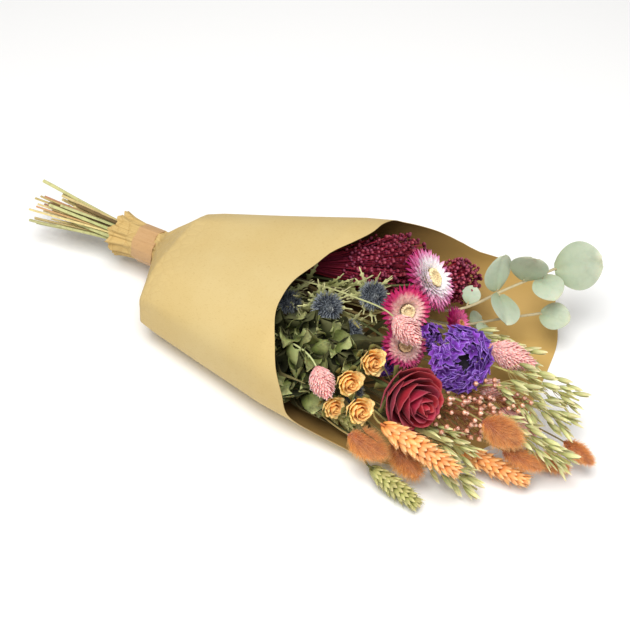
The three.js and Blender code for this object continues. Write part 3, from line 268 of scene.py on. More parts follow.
pulp_tint = mixed(pulp, fibre_share, pulp_tint, pulp_in.outputs["Dark"], "MULTIPLY")
pulp.links.new(pulp_tint, pulp_out.inputs["Color"])
pulp.links.new(math_node(pulp, "ADD", fibres, grain_noise), pulp_out.inputs["Height"])

kraft, kraft_tree, kraft_shader = new_finish("kraft_paper", Roughness=0.62, Specular_IOR_Level=0.25)
kraft_pulp = node(
    kraft_tree, "ShaderNodeGroup", {"node_tree": pulp}, Light=tint(209, 186, 131), Dark=tint(203, 176, 116)
)
# The uncoated inside is browner. Deep in the sleeve it is darkened towards dark brown: painted shade. The
# sheet's across value is 0 outside and 1 inside.
kraft_side = attribute(kraft_tree, "across")
kraft_at = object_place(kraft_tree)
along_sleeve = node(kraft_tree, "ShaderNodeSeparateXYZ", Vector=kraft_at).outputs["X"]
painted_inside_shade = remap(kraft_tree, along_sleeve, TIE[0] + DEEPEST_SHADE_INSIDE, TIE[0] + SHADE_ENDS_INSIDE, 1.0, 0.0)
kraft_inside_and_shade = mixed(kraft_tree, painted_inside_shade, tint(200, 164, 96), tint(78, 48, 22))
kraft_face = mixed(kraft_tree, kraft_side, kraft_pulp.outputs["Color"], kraft_inside_and_shade)
# Pressed folds near the tie: the tone value of the sheet says how crushed it is.
crushed = attribute(kraft_tree, "tone")
# The crushed paper is mixed towards a darker ochre: painted shade of its fine folds.
crush_painted_shade = math_node(kraft_tree, "MULTIPLY", crushed, 0.6)
kraft_face = mixed(kraft_tree, crush_painted_shade, kraft_face, tint(196, 160, 92))
creases = node(
    kraft_tree, "ShaderNodeTexVoronoi", {"feature": "DISTANCE_TO_EDGE"}, Vector=kraft_at, Scale=95.0
).outputs["Distance"]
crease_height = math_node(kraft_tree, "MULTIPLY", math_node(kraft_tree, "MINIMUM", creases, 0.22), crushed)
fibre_height = math_node(kraft_tree, "MULTIPLY", kraft_pulp.outputs["Height"], 0.012)
bump_into(kraft_tree, kraft_shader, math_node(kraft_tree, "ADD", crease_height, fibre_height), 0.7, 0.006)
crease_shade = remap(kraft_tree, creases, 0.0, 0.07, 0.35, 0.0)
crease_shade = math_node(kraft_tree, "MULTIPLY", crease_shade, crushed)
kraft_colour = mixed(kraft_tree, crease_shade, kraft_face, tint(160, 118, 56))
kraft_tree.links.new(kraft_colour, kraft_shader.inputs["Base Color"])


def section_point(x, angle, inset):
    """A point of the sleeve: a superellipse in the plane at x, flattened where it would go through the
    table."""
    near, far, low, high = (np.interp(x, SLEEVE[:, 0], SLEEVE[:, k]) for k in (1, 2, 3, 4))
    power = 2 / np.interp(x, [ROUND_TO, SQUARE_FROM], [2, SQUARENESS])
    cosine, sine = np.cos(angle), np.sin(angle)
    y = (np.where(cosine > 0, far, near) - inset) * np.sign(cosine) * np.abs(cosine) ** power
    z = (low + high) / 2 + ((high - low) / 2 - inset) * np.sign(sine) * np.abs(sine) ** power
    return np.stack([x + 0 * y, y, z], -1)


def pleats(x, angle):
    """How far the gathered sheet stands out: sharp folds round the neck, which fan out and fade on the
    sleeve."""
    uneven = angle * 9 + 1.6 * np.sin(2 * angle + 1) + 1.1 * np.sin(3 * angle + 2.5) + 10 * x
    fold = np.abs((uneven / np.pi) % 2 - 1) * 2 - 1
    fine = np.sin(angle * 23 + 2 * np.sin(angle * 3) + 60 * x)
    return np.interp(x, *PLEAT_DEPTH.T) * fold + np.interp(x, *WRINKLE_DEPTH.T) * fine


AROUND, GATHER_ROWS, SLEEVE_ROWS = 240, 32, 60  # points round the sheet, and rows along it
angle_deg = np.linspace(-90, 270, AROUND, endpoint=False)
angles = np.radians(angle_deg)
sheet_edge = smooth_read(SHEET_EDGE, angle_deg) * MM
sheet_edge = sheet_edge + (0.9 * np.sin(5 * angles + 1) + 0.5 * np.sin(11 * angles)) * MM
scallops = 2.6 * np.abs(np.sin(4.5 * angles + 0.6)) + 1.2 * np.sin(3 * angles) + 0.5 * np.sin(19 * angles + 2)
frill_edge = (-35 - scallops) * MM
gather_share = np.linspace(0, 1, GATHER_ROWS)[:, None]
sleeve_share = np.linspace(0, 1, SLEEVE_ROWS + 1)[1:, None]
sheet_x = np.concatenate([
    frill_edge + (SHOULDER - frill_edge) * gather_share,
    SHOULDER + (sheet_edge - SHOULDER) * sleeve_share,
])
sheet_angle = np.broadcast_to(angles, sheet_x.shape)
outside = section_point(sheet_x, sheet_angle, 0)
outward = np.stack([0 * sheet_x, np.cos(sheet_angle), np.sin(sheet_angle)], -1)
# Broad soft dents of a sheet that has been handled, deeper towards the open end
dents = 0.5 + 0.5 * ripple(outside * (0.5, 1, 1), 110 * MM, 4)
dents *= np.interp(sheet_x, *DENT_DEPTH.T)
outside = outside + outward * (pleats(sheet_x, sheet_angle) + dents)[..., None]
outside[..., 2] = np.maximum(outside[..., 2], 0)
sheet_normal = unit(np.cross(np.roll(outside, -1, 1) - np.roll(outside, 1, 1), np.gradient(outside, axis=0)))
inside = outside - sheet_normal * SHEET
inside[..., 2] = np.maximum(inside[..., 2], SHEET * 0.8)
crush = np.interp(sheet_x / MM, *CRUSH.T)
sheet_points = np.concatenate([outside, inside[::-1]]) + TABLE_SPOT
sheet_faces = grid_faces(2 * len(sheet_x), AROUND, True)
frill_seam = np.arange(AROUND)
inner_frill = frill_seam + (2 * len(sheet_x) - 1) * AROUND
frill_faces = np.stack([inner_frill, np.roll(inner_frill, -1), np.roll(frill_seam, -1), frill_seam], -1)
wrap = part(
    sheet_points, [sheet_faces, frill_faces], kraft,
    tone=np.concatenate([crush, crush[::-1]]), across=np.concatenate([0 * crush, 0 * crush + 1]),
)
add_piece("kraft_wrap", [wrap], "paper_wrapper")

# The tape. A band of thin brownish paper tape is wound about one and a half times round the gathered neck
# and pressed into its pleats, and its end lies a little skew over the first turn.

TAPE_SHEET = 0.5 * MM
TAPE_TURNS = [(-11.5, 9.5, 0.0, 1.0), (-8.5, 12, 1.1, 0.42)]  # from, to, twist and share of a full turn

tape_finish, tape_tree, tape_shader = new_finish("paper_tape", Roughness=0.5, Specular_IOR_Level=0.5)
tape_pulp = node(
    tape_tree, "ShaderNodeGroup", {"node_tree": pulp}, Light=tint(200, 160, 112), Dark=tint(184, 142, 94)
)
tape_folds = noise(tape_tree, object_place(tape_tree), 120.0, 3.0)
tape_tree.links.new(tape_pulp.outputs["Color"], tape_shader.inputs["Base Color"])
bump_into(tape_tree, tape_shader, tape_folds, 0.5, 0.002)

parts = []
for turn, (start, end, twist, share) in enumerate(TAPE_TURNS):
    around = np.linspace(0, 2 * np.pi * share, int(160 * share) + 1)[None] + 2.1
    band = np.linspace(0, 1, 13)[:, None]
    tape_x = (start + (end - start) * band + twist * np.sin(around) + 0.5 * np.sin(7 * around)) * MM
    # The band spans the pleats: it follows their crests and sinks only a little between them.
    stand = np.maximum(pleats(tape_x, around + 0 * band), 0.2 * MM) * 0.8
    lift = stand + (0.5 + turn * 0.8) * MM
    over = section_point(tape_x, around + 0 * band, -lift)
    under = section_point(tape_x, around + 0 * band, -lift + TAPE_SHEET)
    rows, columns = over.shape[:2]
    loop = np.concatenate([over, under[::-1]])
    body = grid_faces(2 * rows, columns)
    first, last = np.arange(columns), np.arange(columns) + (2 * rows - 1) * columns
    edge = np.stack([last[:-1], last[1:], first[1:], first[:-1]], -1)
    side = np.arange(2 * rows) * columns
    half = np.arange(rows - 1)
    cut = np.stack([side[half], side[half + 1], side[2 * rows - 2 - half], side[2 * rows - 1 - half]], -1)
    parts.append(part(loop + TABLE_SPOT, [body, edge, cut, cut[:, ::-1] + columns - 1], tape_finish))
add_piece("neck_band", parts, "neck_tape")

# The stalks. Dried stems and flower stalks run from their cut ends through the tie to their blooms. They are
# slightly bent and ridged, and thin out towards the bloom.

STALK_TAPER = 0.25  # how much thinner a stalk is at its bloom
STALK_SIDES = 7


def corners_of(solid):
    """The corners of a solid, each once."""
    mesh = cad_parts[solid].data
    flat = np.empty(len(mesh.vertices) * 3, np.float32)
    mesh.vertices.foreach_get("co", flat)
    return np.unique(np.round(flat.reshape(-1, 3).astype(float), 6), axis=0)


def ring_middles(solid, radius):
    """The middles of a stalk's rings, in order of x. Each ring is an even triangle in a plane across X,
    with one corner towards +Y, so a corner belongs to a ring where the two others are found beside it."""
    corners = corners_of(solid)
    middles = corners - (0, radius, 0)
    found = np.ones(len(corners), bool)
    for side in (1, -1):
        other = middles + (0, -radius / 2, side * radius * 0.75 ** 0.5)
        found &= np.linalg.norm(other[:, None] - corners[None], axis=2).min(axis=1) < 0.03 * MM
    return middles[found][np.argsort(middles[found][:, 0])]


def curve_through(points, count):
    """A smooth path through the given points, evenly spaced: each coordinate is a cubic of the length so
    far."""
    length = np.concatenate([[0], np.cumsum(np.linalg.norm(np.diff(points, axis=0), axis=1))])
    places = np.linspace(0, length[-1], count)
    return np.stack([smooth_read(np.stack([length, points[:, k]], -1), places) for k in range(3)], -1)


def tubes(paths, radii, finish, sides=6, tone=0.5, oval=1.0):
    """Closed tubes: rings of points across each path (n, rings, 3), at a radius for each ring."""
    paths = np.asarray(paths, float)
    count, rings = paths.shape[:2]
    ahead = unit(np.gradient(paths, axis=1))
    steep = np.abs(ahead[..., 2:]) > 0.92
    aside = unit(np.cross(ahead, np.where(steep, (1.0, 0.1, 0), (0, 0.1, 1.0))))
    up = np.cross(aside, ahead)
    turn = np.linspace(0, 2 * np.pi, sides, endpoint=False)[:, None]
    ring = np.sin(turn) * aside[:, :, None] + np.cos(turn) * oval * up[:, :, None]
    radii = np.broadcast_to(radii, (count, rings))
    points = paths[:, :, None] + ring * radii[:, :, None, None]
    first = np.arange(count)[:, None, None] * rings * sides
    faces = (grid_faces(rings, sides, True)[None] + first).reshape(-1, 4)
    low = (np.arange(sides)[::-1][None] + first[:, 0]).reshape(-1, sides)
    high = (np.arange(sides)[None] + (rings - 1) * sides + first[:, 0]).reshape(-1, sides)
    along = np.broadcast_to(np.linspace(0, 1, rings)[None, :, None], points.shape[:3])
    across = np.broadcast_to(turn[:, 0] / (2 * np.pi), points.shape[:3])
    tones = np.broadcast_to(np.reshape(tone, (-1, 1, 1)), points.shape[:3])
    return part(points, [faces, low, high], finish, along, across, tones)


# Dry plant tissue: a tint over its length, a tone for each copy, blotches, and ridges along it.
tissue, tissue_in, tissue_out = new_group(
    "dry_tissue",
    [
        ("Color", "NodeSocketColor", (1, 1, 1, 1)), ("Blotch", "NodeSocketColor", (0, 0, 0, 1)),
        ("Scale", "NodeSocketFloat", 300.0), ("Amount", "NodeSocketFloat", 0.4),
        ("Ridges", "NodeSocketFloat", 9.0),
    ],
    [("Color", "NodeSocketColor"), ("Height", "NodeSocketFloat"), ("Rough", "NodeSocketFloat")],
)
tissue_tone = attribute(tissue, "tone")
blotches = noise(tissue, object_place(tissue), tissue_in.outputs["Scale"], 4.0, 0.65)
blotch_share = math_node(tissue, "MULTIPLY", remap(tissue, blotches, 0.45, 0.75), tissue_in.outputs["Amount"])
blotched = mixed(tissue, blotch_share, tissue_in.outputs["Color"], tissue_in.outputs["Blotch"])
tone_value = remap(tissue, tissue_tone, 0.0, 1.0, 0.72, 1.24)
tone_hue = remap(tissue, tissue_tone, 0.0, 1.0, 0.488, 0.512)
toned = node(tissue, "ShaderNodeHueSaturation", Color=blotched, Value=tone_value, Hue=tone_hue).outputs[0]
ridge_turn = math_node(tissue, "MULTIPLY", attribute(tissue, "across"), tissue_in.outputs["Ridges"])
ridges = math_node(tissue, "SINE", math_node(tissue, "MULTIPLY", ridge_turn, 2 * np.pi))
ridge_height = math_node(tissue, "MULTIPLY_ADD", ridges, 0.5, blotches)
tissue.links.new(toned, tissue_out.inputs["Color"])
tissue.links.new(ridge_height, tissue_out.inputs["Height"])
tissue.links.new(remap(tissue, blotches, 0.0, 1.0, 0.5, 0.95), tissue_out.inputs["Rough"])


def ramp(tree, value, stops):
    """A colour ramp over (place, colour) stops."""
    made = node(tree, "ShaderNodeValToRGB", Fac=value)
    elements = made.color_ramp.elements
    while len(elements) < len(stops):
        elements.new(0.5)
    for element, (place, colour) in zip(elements, stops):
        element.position = place
        element.color = colour
    return made.outputs[0]


def plant_finish(name, stops, blotch, scale, amount=0.4, ridges=9.0, bump=0.3, depth=0.0006, **constants):
    """A dry plant material: a colour ramp over a petal's, leaf's or stalk's length, with the dry tissue's
    blotches, tones and ridges."""
    material, tree, shader = new_finish(name, **{"Specular_IOR_Level": 0.35, **constants})
    place = attribute(tree, "along")
    colour = ramp(tree, place, [(share, tint(*colour)) for share, colour in stops])
    made = node(
        tree, "ShaderNodeGroup", {"node_tree": tissue},
        Color=colour, Blotch=tint(*blotch), Scale=scale, Amount=amount, Ridges=ridges,
    )
    tree.links.new(made.outputs["Color"], shader.inputs["Base Color"])
    if "Roughness" not in constants:
        tree.links.new(made.outputs["Rough"], shader.inputs["Roughness"])
    bump_into(tree, shader, made.outputs["Height"], bump, depth)
    return material


# The stalk ramps run from the cut end (0) to the bloom (1). Their dark stops from 0.6 to 0.86 lie inside the
# sleeve and the mouth: painted shade.
straw_stalk = plant_finish(
    "straw_stalk",
    [
        (0.0, (226, 206, 146)), (0.35, (210, 186, 120)), (0.6, (92, 76, 42)), (0.86, (112, 96, 56)),
        (1.0, (164, 148, 90)),
    ],
    (140, 110, 60), scale=180.0, ridges=5.0,
)
green_stalk = plant_finish(
    "green_stalk",
    [
        (0.0, (206, 204, 146)), (0.35, (168, 172, 104)), (0.6, (62, 68, 36)), (0.86, (74, 80, 44)),
        (1.0, (98, 108, 60)),
    ],
    (80, 76, 40), scale=160.0, ridges=5.0,
)
brown_stalk = plant_finish(
    "brown_stalk",
    [
        (0.0, (128, 104, 66)), (0.35, (92, 74, 44)), (0.6, (52, 40, 26)), (0.86, (74, 62, 38)),
        (1.0, (112, 100, 58)),
    ],
    (60, 38, 26), scale=160.0, ridges=5.0,
)


def stalk(path, radius, finish, seed, rings=64):
    """A stalk along a path through its rings' middles: it thins towards the bloom, with a soft unevenness
    and a slightly thicker joint here and there."""
    rng = np.random.default_rng(seed)
    line = curve_through(np.asarray(path), rings)
    share = np.linspace(0, 1, rings)
    joints = np.exp(-((share[:, None] - rng.uniform(0.05, 0.9, 4)) / 0.008) ** 2).sum(1)
    thickness = radius * (1 - STALK_TAPER * share) * (0.92 + 0.05 * np.sin(share * 40 + seed) + 0.22 * joints)
    return tubes([line], thickness, finish, STALK_SIDES, rng.uniform(0.2, 0.8), oval=0.9)


# Blooms with a colour of their own stand on these stems: name, radius, finish
SINGLE_STEMS = [
    ("rose_stem", 2.6, green_stalk),
    ("strawflower_1_stem", 1.7, green_stalk),
    ("strawflower_2_stem", 1.7, straw_stalk),
    ("strawflower_3_stem", 1.7, green_stalk),
    ("strawflower_4_stem", 1.7, straw_stalk),
]
for seed, (name, radius, finish) in enumerate(SINGLE_STEMS):
    path = ring_middles(name, radius * MM)
    add_piece(f"{name}_dried", [stalk(path, radius * MM, finish, seed + 10)], name)

# Stems that fork under several blooms: name, radius, finish, and the name and numbers of their blooms
FORKED_STEMS = [
    ("spray_rose_stem", 1.9, green_stalk, "spray_rose_bloom", (1, 2, 3, 4)),
    ("thistle_a_stem", 2.0, brown_stalk, "thistle_head", (1, 2)),
    ("thistle_b_stem", 2.0, brown_stalk, "thistle_head", (3, 4, 5)),
    ("statice_stem", 1.8, straw_stalk, "statice_bloom", (1, 2, 3)),
]
BRANCH_SHARE = 0.7
SEAT_GAP = 0.5 * MM


def foot_of(solid, way):
    """Where a bloom meets its stalk: the corner that lies furthest back along the way it points."""
    corners = corners_of(solid)
    return corners[np.argmin(corners @ unit(way))]


# Which way each bloom of a forked stem points
HEAD_WAYS = {
    "spray_rose_bloom_1": (0.8, -0.4, 0.45), "spray_rose_bloom_2": (0.8, -0.5, 0.35),
    "spray_rose_bloom_3": (0.8, -0.5, 0.35), "spray_rose_bloom_4": (0.8, -0.5, 0.25),
    "thistle_head_1": (0.8, -0.45, 0.4), "thistle_head_2": (0.75, -0.45, 0.47),
    "thistle_head_3": (0.85, -0.4, 0.3), "thistle_head_4": (0.85, -0.4, 0.3),
    "thistle_head_5": (0.9, -0.35, 0.1), "statice_bloom_1": (0.8, -0.3, 0.5),
    "statice_bloom_2": (0.8, -0.4, 0.4), "statice_bloom_3": (0.85, 0, 0.5),
}
for seed, (name, radius, finish, bloom, numbers) in enumerate(FORKED_STEMS):
    trunk = ring_middles(name, radius * MM)
    branches = ring_middles(name, radius * BRANCH_SHARE * MM)
    fork = trunk[-1]
    stems = [stalk(trunk, radius * MM, finish, seed + 30)]
    for number in numbers:
        head = f"{bloom}_{number}"
        seat = foot_of(head, HEAD_WAYS[head]) - (SEAT_GAP, 0, 0)
        # In each plane of rings between the fork and the seat, the branch's own ring is the one nearest to
        # the straight line between them.
        between = branches[(branches[:, 0] > fork[0] + MM) & (branches[:, 0] < seat[0] - MM)]
        share = (between[:, 0] - fork[0]) / (seat[0] - fork[0])
        off = np.linalg.norm(between - (fork + (seat - fork) * share[:, None]), axis=1)
        planes = np.round(between[:, 0], 4)
        own = [between[planes == x][np.argmin(off[planes == x])] for x in np.unique(planes)]
        inside_trunk = trunk[-1] + (trunk[-2] - trunk[-1]) * 0.06
        path = [inside_trunk, fork, *own, seat]
        stems.append(stalk(path, radius * BRANCH_SHARE * MM, finish, seed + number + 40, rings=40))
    add_piece(f"{name}_dried", stems, name)

# The rose. One garden rose, dried: velvety burgundy petals lie in a spiral round a tight heart and roll
# back at their rims. Its green hip with five narrow sepals sits on the end of the rose's own stem.

ROSE_WAY = (0.84, -0.4, 0.36)
ROSE_LENGTH, ROSE_RADIUS = 52 * MM, 29 * MM
ROSE_PETALS = 29
ROSE_PETAL_THICKNESS = 0.6 * MM
HEART_LEAN = np.array([3.9, 3.2, -5.5]) * MM  # how far the heart sits to one side of the bloom
GOLDEN_TURN = np.radians(137.508)
FRILL_LOBES = 5  # waves round a frilled cup
THIN_RIM = 0.35  # how thick a petal is at its rim, as a share of its middle


def directions(ways, faces=(0.01, 0.02, 1.0), turns=0.0):
    """Three directions for each way, as the rows of (n, 3, 3): aside, up (towards the face) and ahead along
    the way. The first two are turned about the way."""
    ahead = unit(np.atleast_2d(np.asarray(ways, float)))
    aside = unit(np.cross(np.broadcast_to(faces, ahead.shape), ahead))
    up = np.cross(ahead, aside)
    c, s = np.reshape(np.cos(turns), (-1, 1)), np.reshape(np.sin(turns), (-1, 1))
    return np.stack([aside * c + up * s, up * c - aside * s, ahead + 0 * c], axis=1)


def about_axis(out, turn, height):
    """Points about the Z axis, by their radius, turn and height."""
    return np.stack([out * np.cos(turn), out * np.sin(turn), height], -1)


def placed(points, at, way):
    """Points in a bloom's own directions, with Z along its way, moved to where it grows."""
    return points @ directions(way)[0] + at


def grid_shares(rows, columns):
    """The shares v down the rows and u across the columns of a grid, from 0 to 1."""
    return np.linspace(0, 1, rows)[:, None], np.linspace(0, 1, columns)


def sheets(surface, thickness, finish, tone=0.5, along=None):
    """Closed petals, leaves or bracts over grids of points (n, rows, columns, 3). The back face lies a
    thickness behind the front one along its normals, and comes closer towards the edge."""
    count, rows, columns = surface.shape[:3]
    normal = unit(np.cross(np.gradient(surface, axis=2), np.gradient(surface, axis=1)))
    v, u = grid_shares(rows, columns)
    thin = 1 - (1 - THIN_RIM) * np.maximum(np.abs(2 * u - 1), v) ** 6
    points = np.concatenate([surface, surface - normal * (thickness * thin)[..., None]], axis=1)
    one = rows * columns
    front = grid_faces(rows, columns)
    ids = np.arange(one).reshape(rows, columns)
    loop = np.concatenate([ids[0, :-1], ids[:-1, -1], ids[-1, :0:-1], ids[:0:-1, 0]])
    after = np.roll(loop, -1)
    edge = np.stack([after, loop, loop + one, after + one], -1)
    faces = np.concatenate([front, front[:, ::-1] + one, edge])
    faces = (faces[None] + (np.arange(count) * 2 * one)[:, None, None]).reshape(-1, 4)
    along = v if along is None else np.reshape(along, (-1, rows, 1)) + 0 * v
    along = np.broadcast_to(along, (count, rows, columns))
    across = np.broadcast_to(u, (count, rows, columns))
    tone = np.broadcast_to(np.reshape(tone, (-1, 1, 1)), (count, 2 * rows, columns))
    twice = [np.concatenate([values, values], axis=1) for values in (along, across)]
    return part(points, [faces], finish, *twice, tone)


def spun(profile, sides, finish=None, frill=0.0, along=None, oval=1.0):
    """A closed body turned about Z, from (radius, height) pairs, with flat caps. A frill makes it wavy
    where it is wide."""
    profile = np.asarray(profile, float)
    turn = np.linspace(0, 2 * np.pi, sides, endpoint=False)
    radius = profile[:, :1] * (1 + frill * np.sin(FRILL_LOBES * turn) * profile[:, :1] / profile[:, 0].max())
    height = profile[:, 1:] + 0 * turn
    points = np.stack([radius * np.cos(turn), radius * np.sin(turn) * oval, height], -1)
    rows = len(profile)
    caps = np.stack([np.arange(sides)[::-1], np.arange(sides) + (rows - 1) * sides])
    along = np.linspace(0, 1, rows) if along is None else np.asarray(along, float)
    along = np.broadcast_to(along[:, None], (rows, sides))
    across = np.broadcast_to(turn / (2 * np.pi), (rows, sides))
    return part(points, [grid_faces(rows, sides, True), caps], finish, along, across)


def moved(body, at, way, tone=0.5):
    """A part in a bloom's own directions, moved to where it grows."""
    tones = np.full(len(body["points"]), float(tone))
    return {**body, "points": placed(body["points"], at, way), "tone": tones}


def cupped_petals(turn, span, foot, belly, rim, top, curl, tuck, ruffle=0.0, rows=12, columns=13):
    """Petals of a cupped bloom, as grids in the bloom's own directions. With v from the foot to the rim and u
    across, a petal rises from foot to top, swells to its belly half way, comes in to its rim and rolls back
    there. Its left edge tucks inside its neighbour's right edge."""
    lists = np.broadcast_arrays(turn, span, foot, belly, rim, top, curl, tuck, ruffle)
    turn, span, foot, belly, rim, top, curl, tuck, ruffle = (np.reshape(a, (-1, 1, 1)) for a in lists)
    v, u = grid_shares(rows, columns)
    across = 2 * u - 1
    angle = turn + span / 2 * across * np.sin(np.pi / 2 * np.minimum(1, 0.25 + v))
    point = 1 - 0.2 * v * np.abs(across) ** 2.6 + 0.03 * v * np.exp(-(across / 0.18) ** 2)
    height = (foot + (top - foot) * v * (1.15 - 0.15 * v)) * point
    bulge = 2 * v * (1 - v) * belly + v ** 2 * rim + (1 - v) ** 2 * 2 * MM
    roll = np.clip((v - 0.66) / 0.34, 0, 1) ** 2 * (1.1 - 0.75 * across ** 2)
    wave = np.sin(across * 5.3 + turn * 3.1) + 0.6 * np.sin(across * 11 + turn * 5.7)
    out = bulge * 1.06 + tuck * across * np.minimum(1, 2 * v) + curl * roll + ruffle * wave * v ** 2
    height = height - 0.45 * curl * roll ** 2 + 0.6 * ruffle * np.sin(across * 8.3 + turn * 7) * v ** 3
    return about_axis(out, angle, height)


rose_petal = plant_finish(
    "rose_petal",
    [(0.0, (78, 8, 22)), (0.5, (150, 24, 44)), (0.88, (176, 40, 62)), (1.0, (200, 88, 100))],
    (96, 12, 32), scale=200.0, ridges=12.0, bump=0.22, depth=0.0005,
    Roughness=0.72, Sheen_Weight=0.35, Sheen_Roughness=0.4, Sheen_Tint=(0.9, 0.35, 0.42, 1),
    Specular_IOR_Level=0.2,
)
green_sepal = plant_finish(
    "green_sepal", [(0.0, (96, 104, 52)), (1.0, (140, 138, 78))], (88, 66, 34), scale=260.0,
)
rng = np.random.default_rng(3)
inward = np.linspace(0, 1, ROSE_PETALS)  # 0 for the outermost petal and 1 for the heart
steps = [0, 0.3, 0.6, 0.85, 1]
spiral = cupped_petals(
    turn=np.arange(ROSE_PETALS) * GOLDEN_TURN + rng.uniform(-0.15, 0.15, ROSE_PETALS),
    span=np.radians(np.interp(inward, steps, [82, 92, 118, 170, 250])),
    foot=np.interp(inward, steps, [4, 10, 15, 19, 22]) * MM,
    belly=ROSE_RADIUS * np.interp(inward, steps, [0.95, 0.87, 0.6, 0.34, 0.1]),
    rim=ROSE_RADIUS * np.interp(inward, steps, [0.9, 0.77, 0.5, 0.24, 0.04]),
    top=ROSE_LENGTH * np.interp(inward, steps, [0.6, 0.78, 0.92, 0.98, 0.97])
    * rng.uniform(0.96, 1.02, ROSE_PETALS),
    curl=np.interp(inward, steps, [3.6, 3.4, 2.2, 0.9, 0.1]) * MM,
    tuck=np.interp(inward, steps, [0.3, 0.9, 1.2, 0.9, 0.3]) * MM,
    ruffle=0.35 * MM,
)
rose_seat = foot_of("rose_bloom", ROSE_WAY)
rose_petals = placed(spiral, rose_seat, ROSE_WAY)
rose_petals += HEART_LEAN * inward[:, None, None, None] ** 1.6 * (spiral[..., 2:] / ROSE_LENGTH) ** 2
parts = [
    sheets(rose_petals, ROSE_PETAL_THICKNESS, rose_petal, tone=rng.uniform(0.25, 0.8, ROSE_PETALS)),
    moved(spun(np.array([[1, 4], [7, 9], [8, 22], [2, 44]]) * MM, 12, rose_petal), rose_seat, ROSE_WAY, 0.1),
    moved(spun(np.array([[1.6, 0], [3, 1.5], [5.2, 5], [4, 9]]) * MM, 14, green_sepal), rose_seat, ROSE_WAY),
]
sepals = cupped_petals(
    turn=np.arange(5) * 2 * np.pi / 5, span=np.radians(15), foot=1 * MM, belly=ROSE_RADIUS * 0.62,
    rim=ROSE_RADIUS * 0.72, top=ROSE_LENGTH * 0.12, curl=1 * MM, tuck=0.0, rows=9, columns=5,
)
parts.append(sheets(placed(sepals, rose_seat, ROSE_WAY), ROSE_PETAL_THICKNESS, green_sepal))
add_piece("garden_rose", parts, "rose_bloom")

# The spray roses. Four small cream roses on one forked stem. Their petals dried crinkled, with ragged rims,
# and turn apricot towards the heart.

SPRAY_ROSES = [(1, 22, 12), (2, 22, 12), (3, 22, 12), (4, 20, 10)]  # number, length, radius
SPRAY_PETALS = 19
SPRAY_PETAL_THICKNESS, SEPAL_THICKNESS = 0.35 * MM, 0.4 * MM

spray_petal = plant_finish(
    "spray_rose_petal",
    [(0.0, (232, 140, 64)), (0.45, (250, 192, 108)), (0.85, (255, 232, 172)), (1.0, (248, 202, 128))],
    (224, 140, 66), scale=420.0, amount=0.3, bump=0.35, depth=0.0004, Subsurface_Weight=0.12,
    Subsurface_Scale=0.003,
)
spray_heart = plant_finish(
    "spray_rose_heart",
    [(0.0, (196, 92, 36)), (0.6, (238, 152, 72)), (1.0, (250, 208, 136))],
    (208, 108, 44), scale=420.0, amount=0.3, bump=0.35, depth=0.0004,
)
for number, length, radius in SPRAY_ROSES:
    length, radius = length * MM, radius * MM
    name = f"spray_rose_bloom_{number}"
    seat, way = foot_of(name, HEAD_WAYS[name]), HEAD_WAYS[name]
    rng = np.random.default_rng(number + 20)
    inward, steps = np.linspace(0, 1, SPRAY_PETALS), [0, 0.5, 1]
    petals = cupped_petals(
        turn=np.arange(SPRAY_PETALS) * GOLDEN_TURN + rng.uniform(-0.3, 0.3, SPRAY_PETALS),
        span=np.radians(np.interp(inward, steps, [88, 112, 230])),
        foot=np.interp(inward, steps, [2.5, 4.5, 8]) * MM,
        belly=radius * np.interp(inward, steps, [1.0, 0.66, 0.12]),
        rim=radius * np.interp(inward, steps, [0.9, 0.55, 0.06]),
        top=length * np.interp(inward, steps, [0.74, 0.92, 1.0]) * rng.uniform(0.92, 1.04, SPRAY_PETALS),
        curl=np.interp(inward, steps, [2.2, 1.2, 0.1]) * MM,
        tuck=0.6 * MM,
        ruffle=np.interp(inward, [0, 1], [0.65, 0.25]) * MM,
        rows=9, columns=13,
    )
    petals = placed(petals, seat, way)
    tones = rng.uniform(0.6, 1.0, SPRAY_PETALS)
    outer = inward < 0.55
    green_cup = cupped_petals(
        turn=np.arange(5) * 2 * np.pi / 5 + number, span=np.radians(24), foot=0.5 * MM, belly=radius * 0.95,
        rim=radius * 1.05, top=length * 0.42, curl=1.6 * MM, tuck=0.0, rows=7, columns=5,
    )
    parts = [
        sheets(petals[outer], SPRAY_PETAL_THICKNESS, spray_petal, tone=tones[outer]),
        sheets(petals[~outer], SPRAY_PETAL_THICKNESS, spray_heart, tone=tones[~outer]),
        moved(spun(np.array([[0.6, 2], [3.4, 5], [3, 11], [0.8, 17]]) * MM, 10, spray_heart), seat, way, 0.1),
        moved(spun(np.array([[1.1, 0], [2, 0.8], [3.2, 2.8], [2.4, 5]]) * MM, 12, green_sepal), seat, way),
        sheets(placed(green_cup, seat, way), SEPAL_THICKNESS, green_sepal),
    ]
    add_piece(f"spray_rose_{number}", parts, name)

# The strawflowers. Stiff, shiny, papery bracts lie in layers like roof tiles round a domed disc of fine
# florets. The four blooms are dyed or grown in different pinks, and open to different degrees.

STRAWFLOWERS = {
    1: (0.66, 0.22, 0.62, 20, 31), 2: (0.62, -0.6, 0.5, 18, 23),  # way, length and radius
    3: (0.5, -0.35, 0.8, 15, 21), 4: (0.85, 0.2, 0.45, 15, 18),
}
# From the disc outwards: colours of the inner bracts, the middle and the outer ones, and of the disc
STRAW_COLOURS = {
    1: [(255, 246, 248), (242, 150, 198), (200, 34, 118), (253, 236, 190)],
    2: [(253, 214, 206), (226, 70, 134), (186, 24, 92), (252, 234, 190)],
    3: [(252, 212, 204), (206, 66, 124), (156, 24, 80), (246, 214, 166)],
    4: [(232, 110, 164), (202, 44, 124), (146, 22, 88), (214, 150, 90)],
}
BRACT_LAYERS = 8
BRACT_ROWS = 7  # rows of points along a bract
BRACT_THICKNESS = 0.3 * MM
DISC_FLORETS = 190


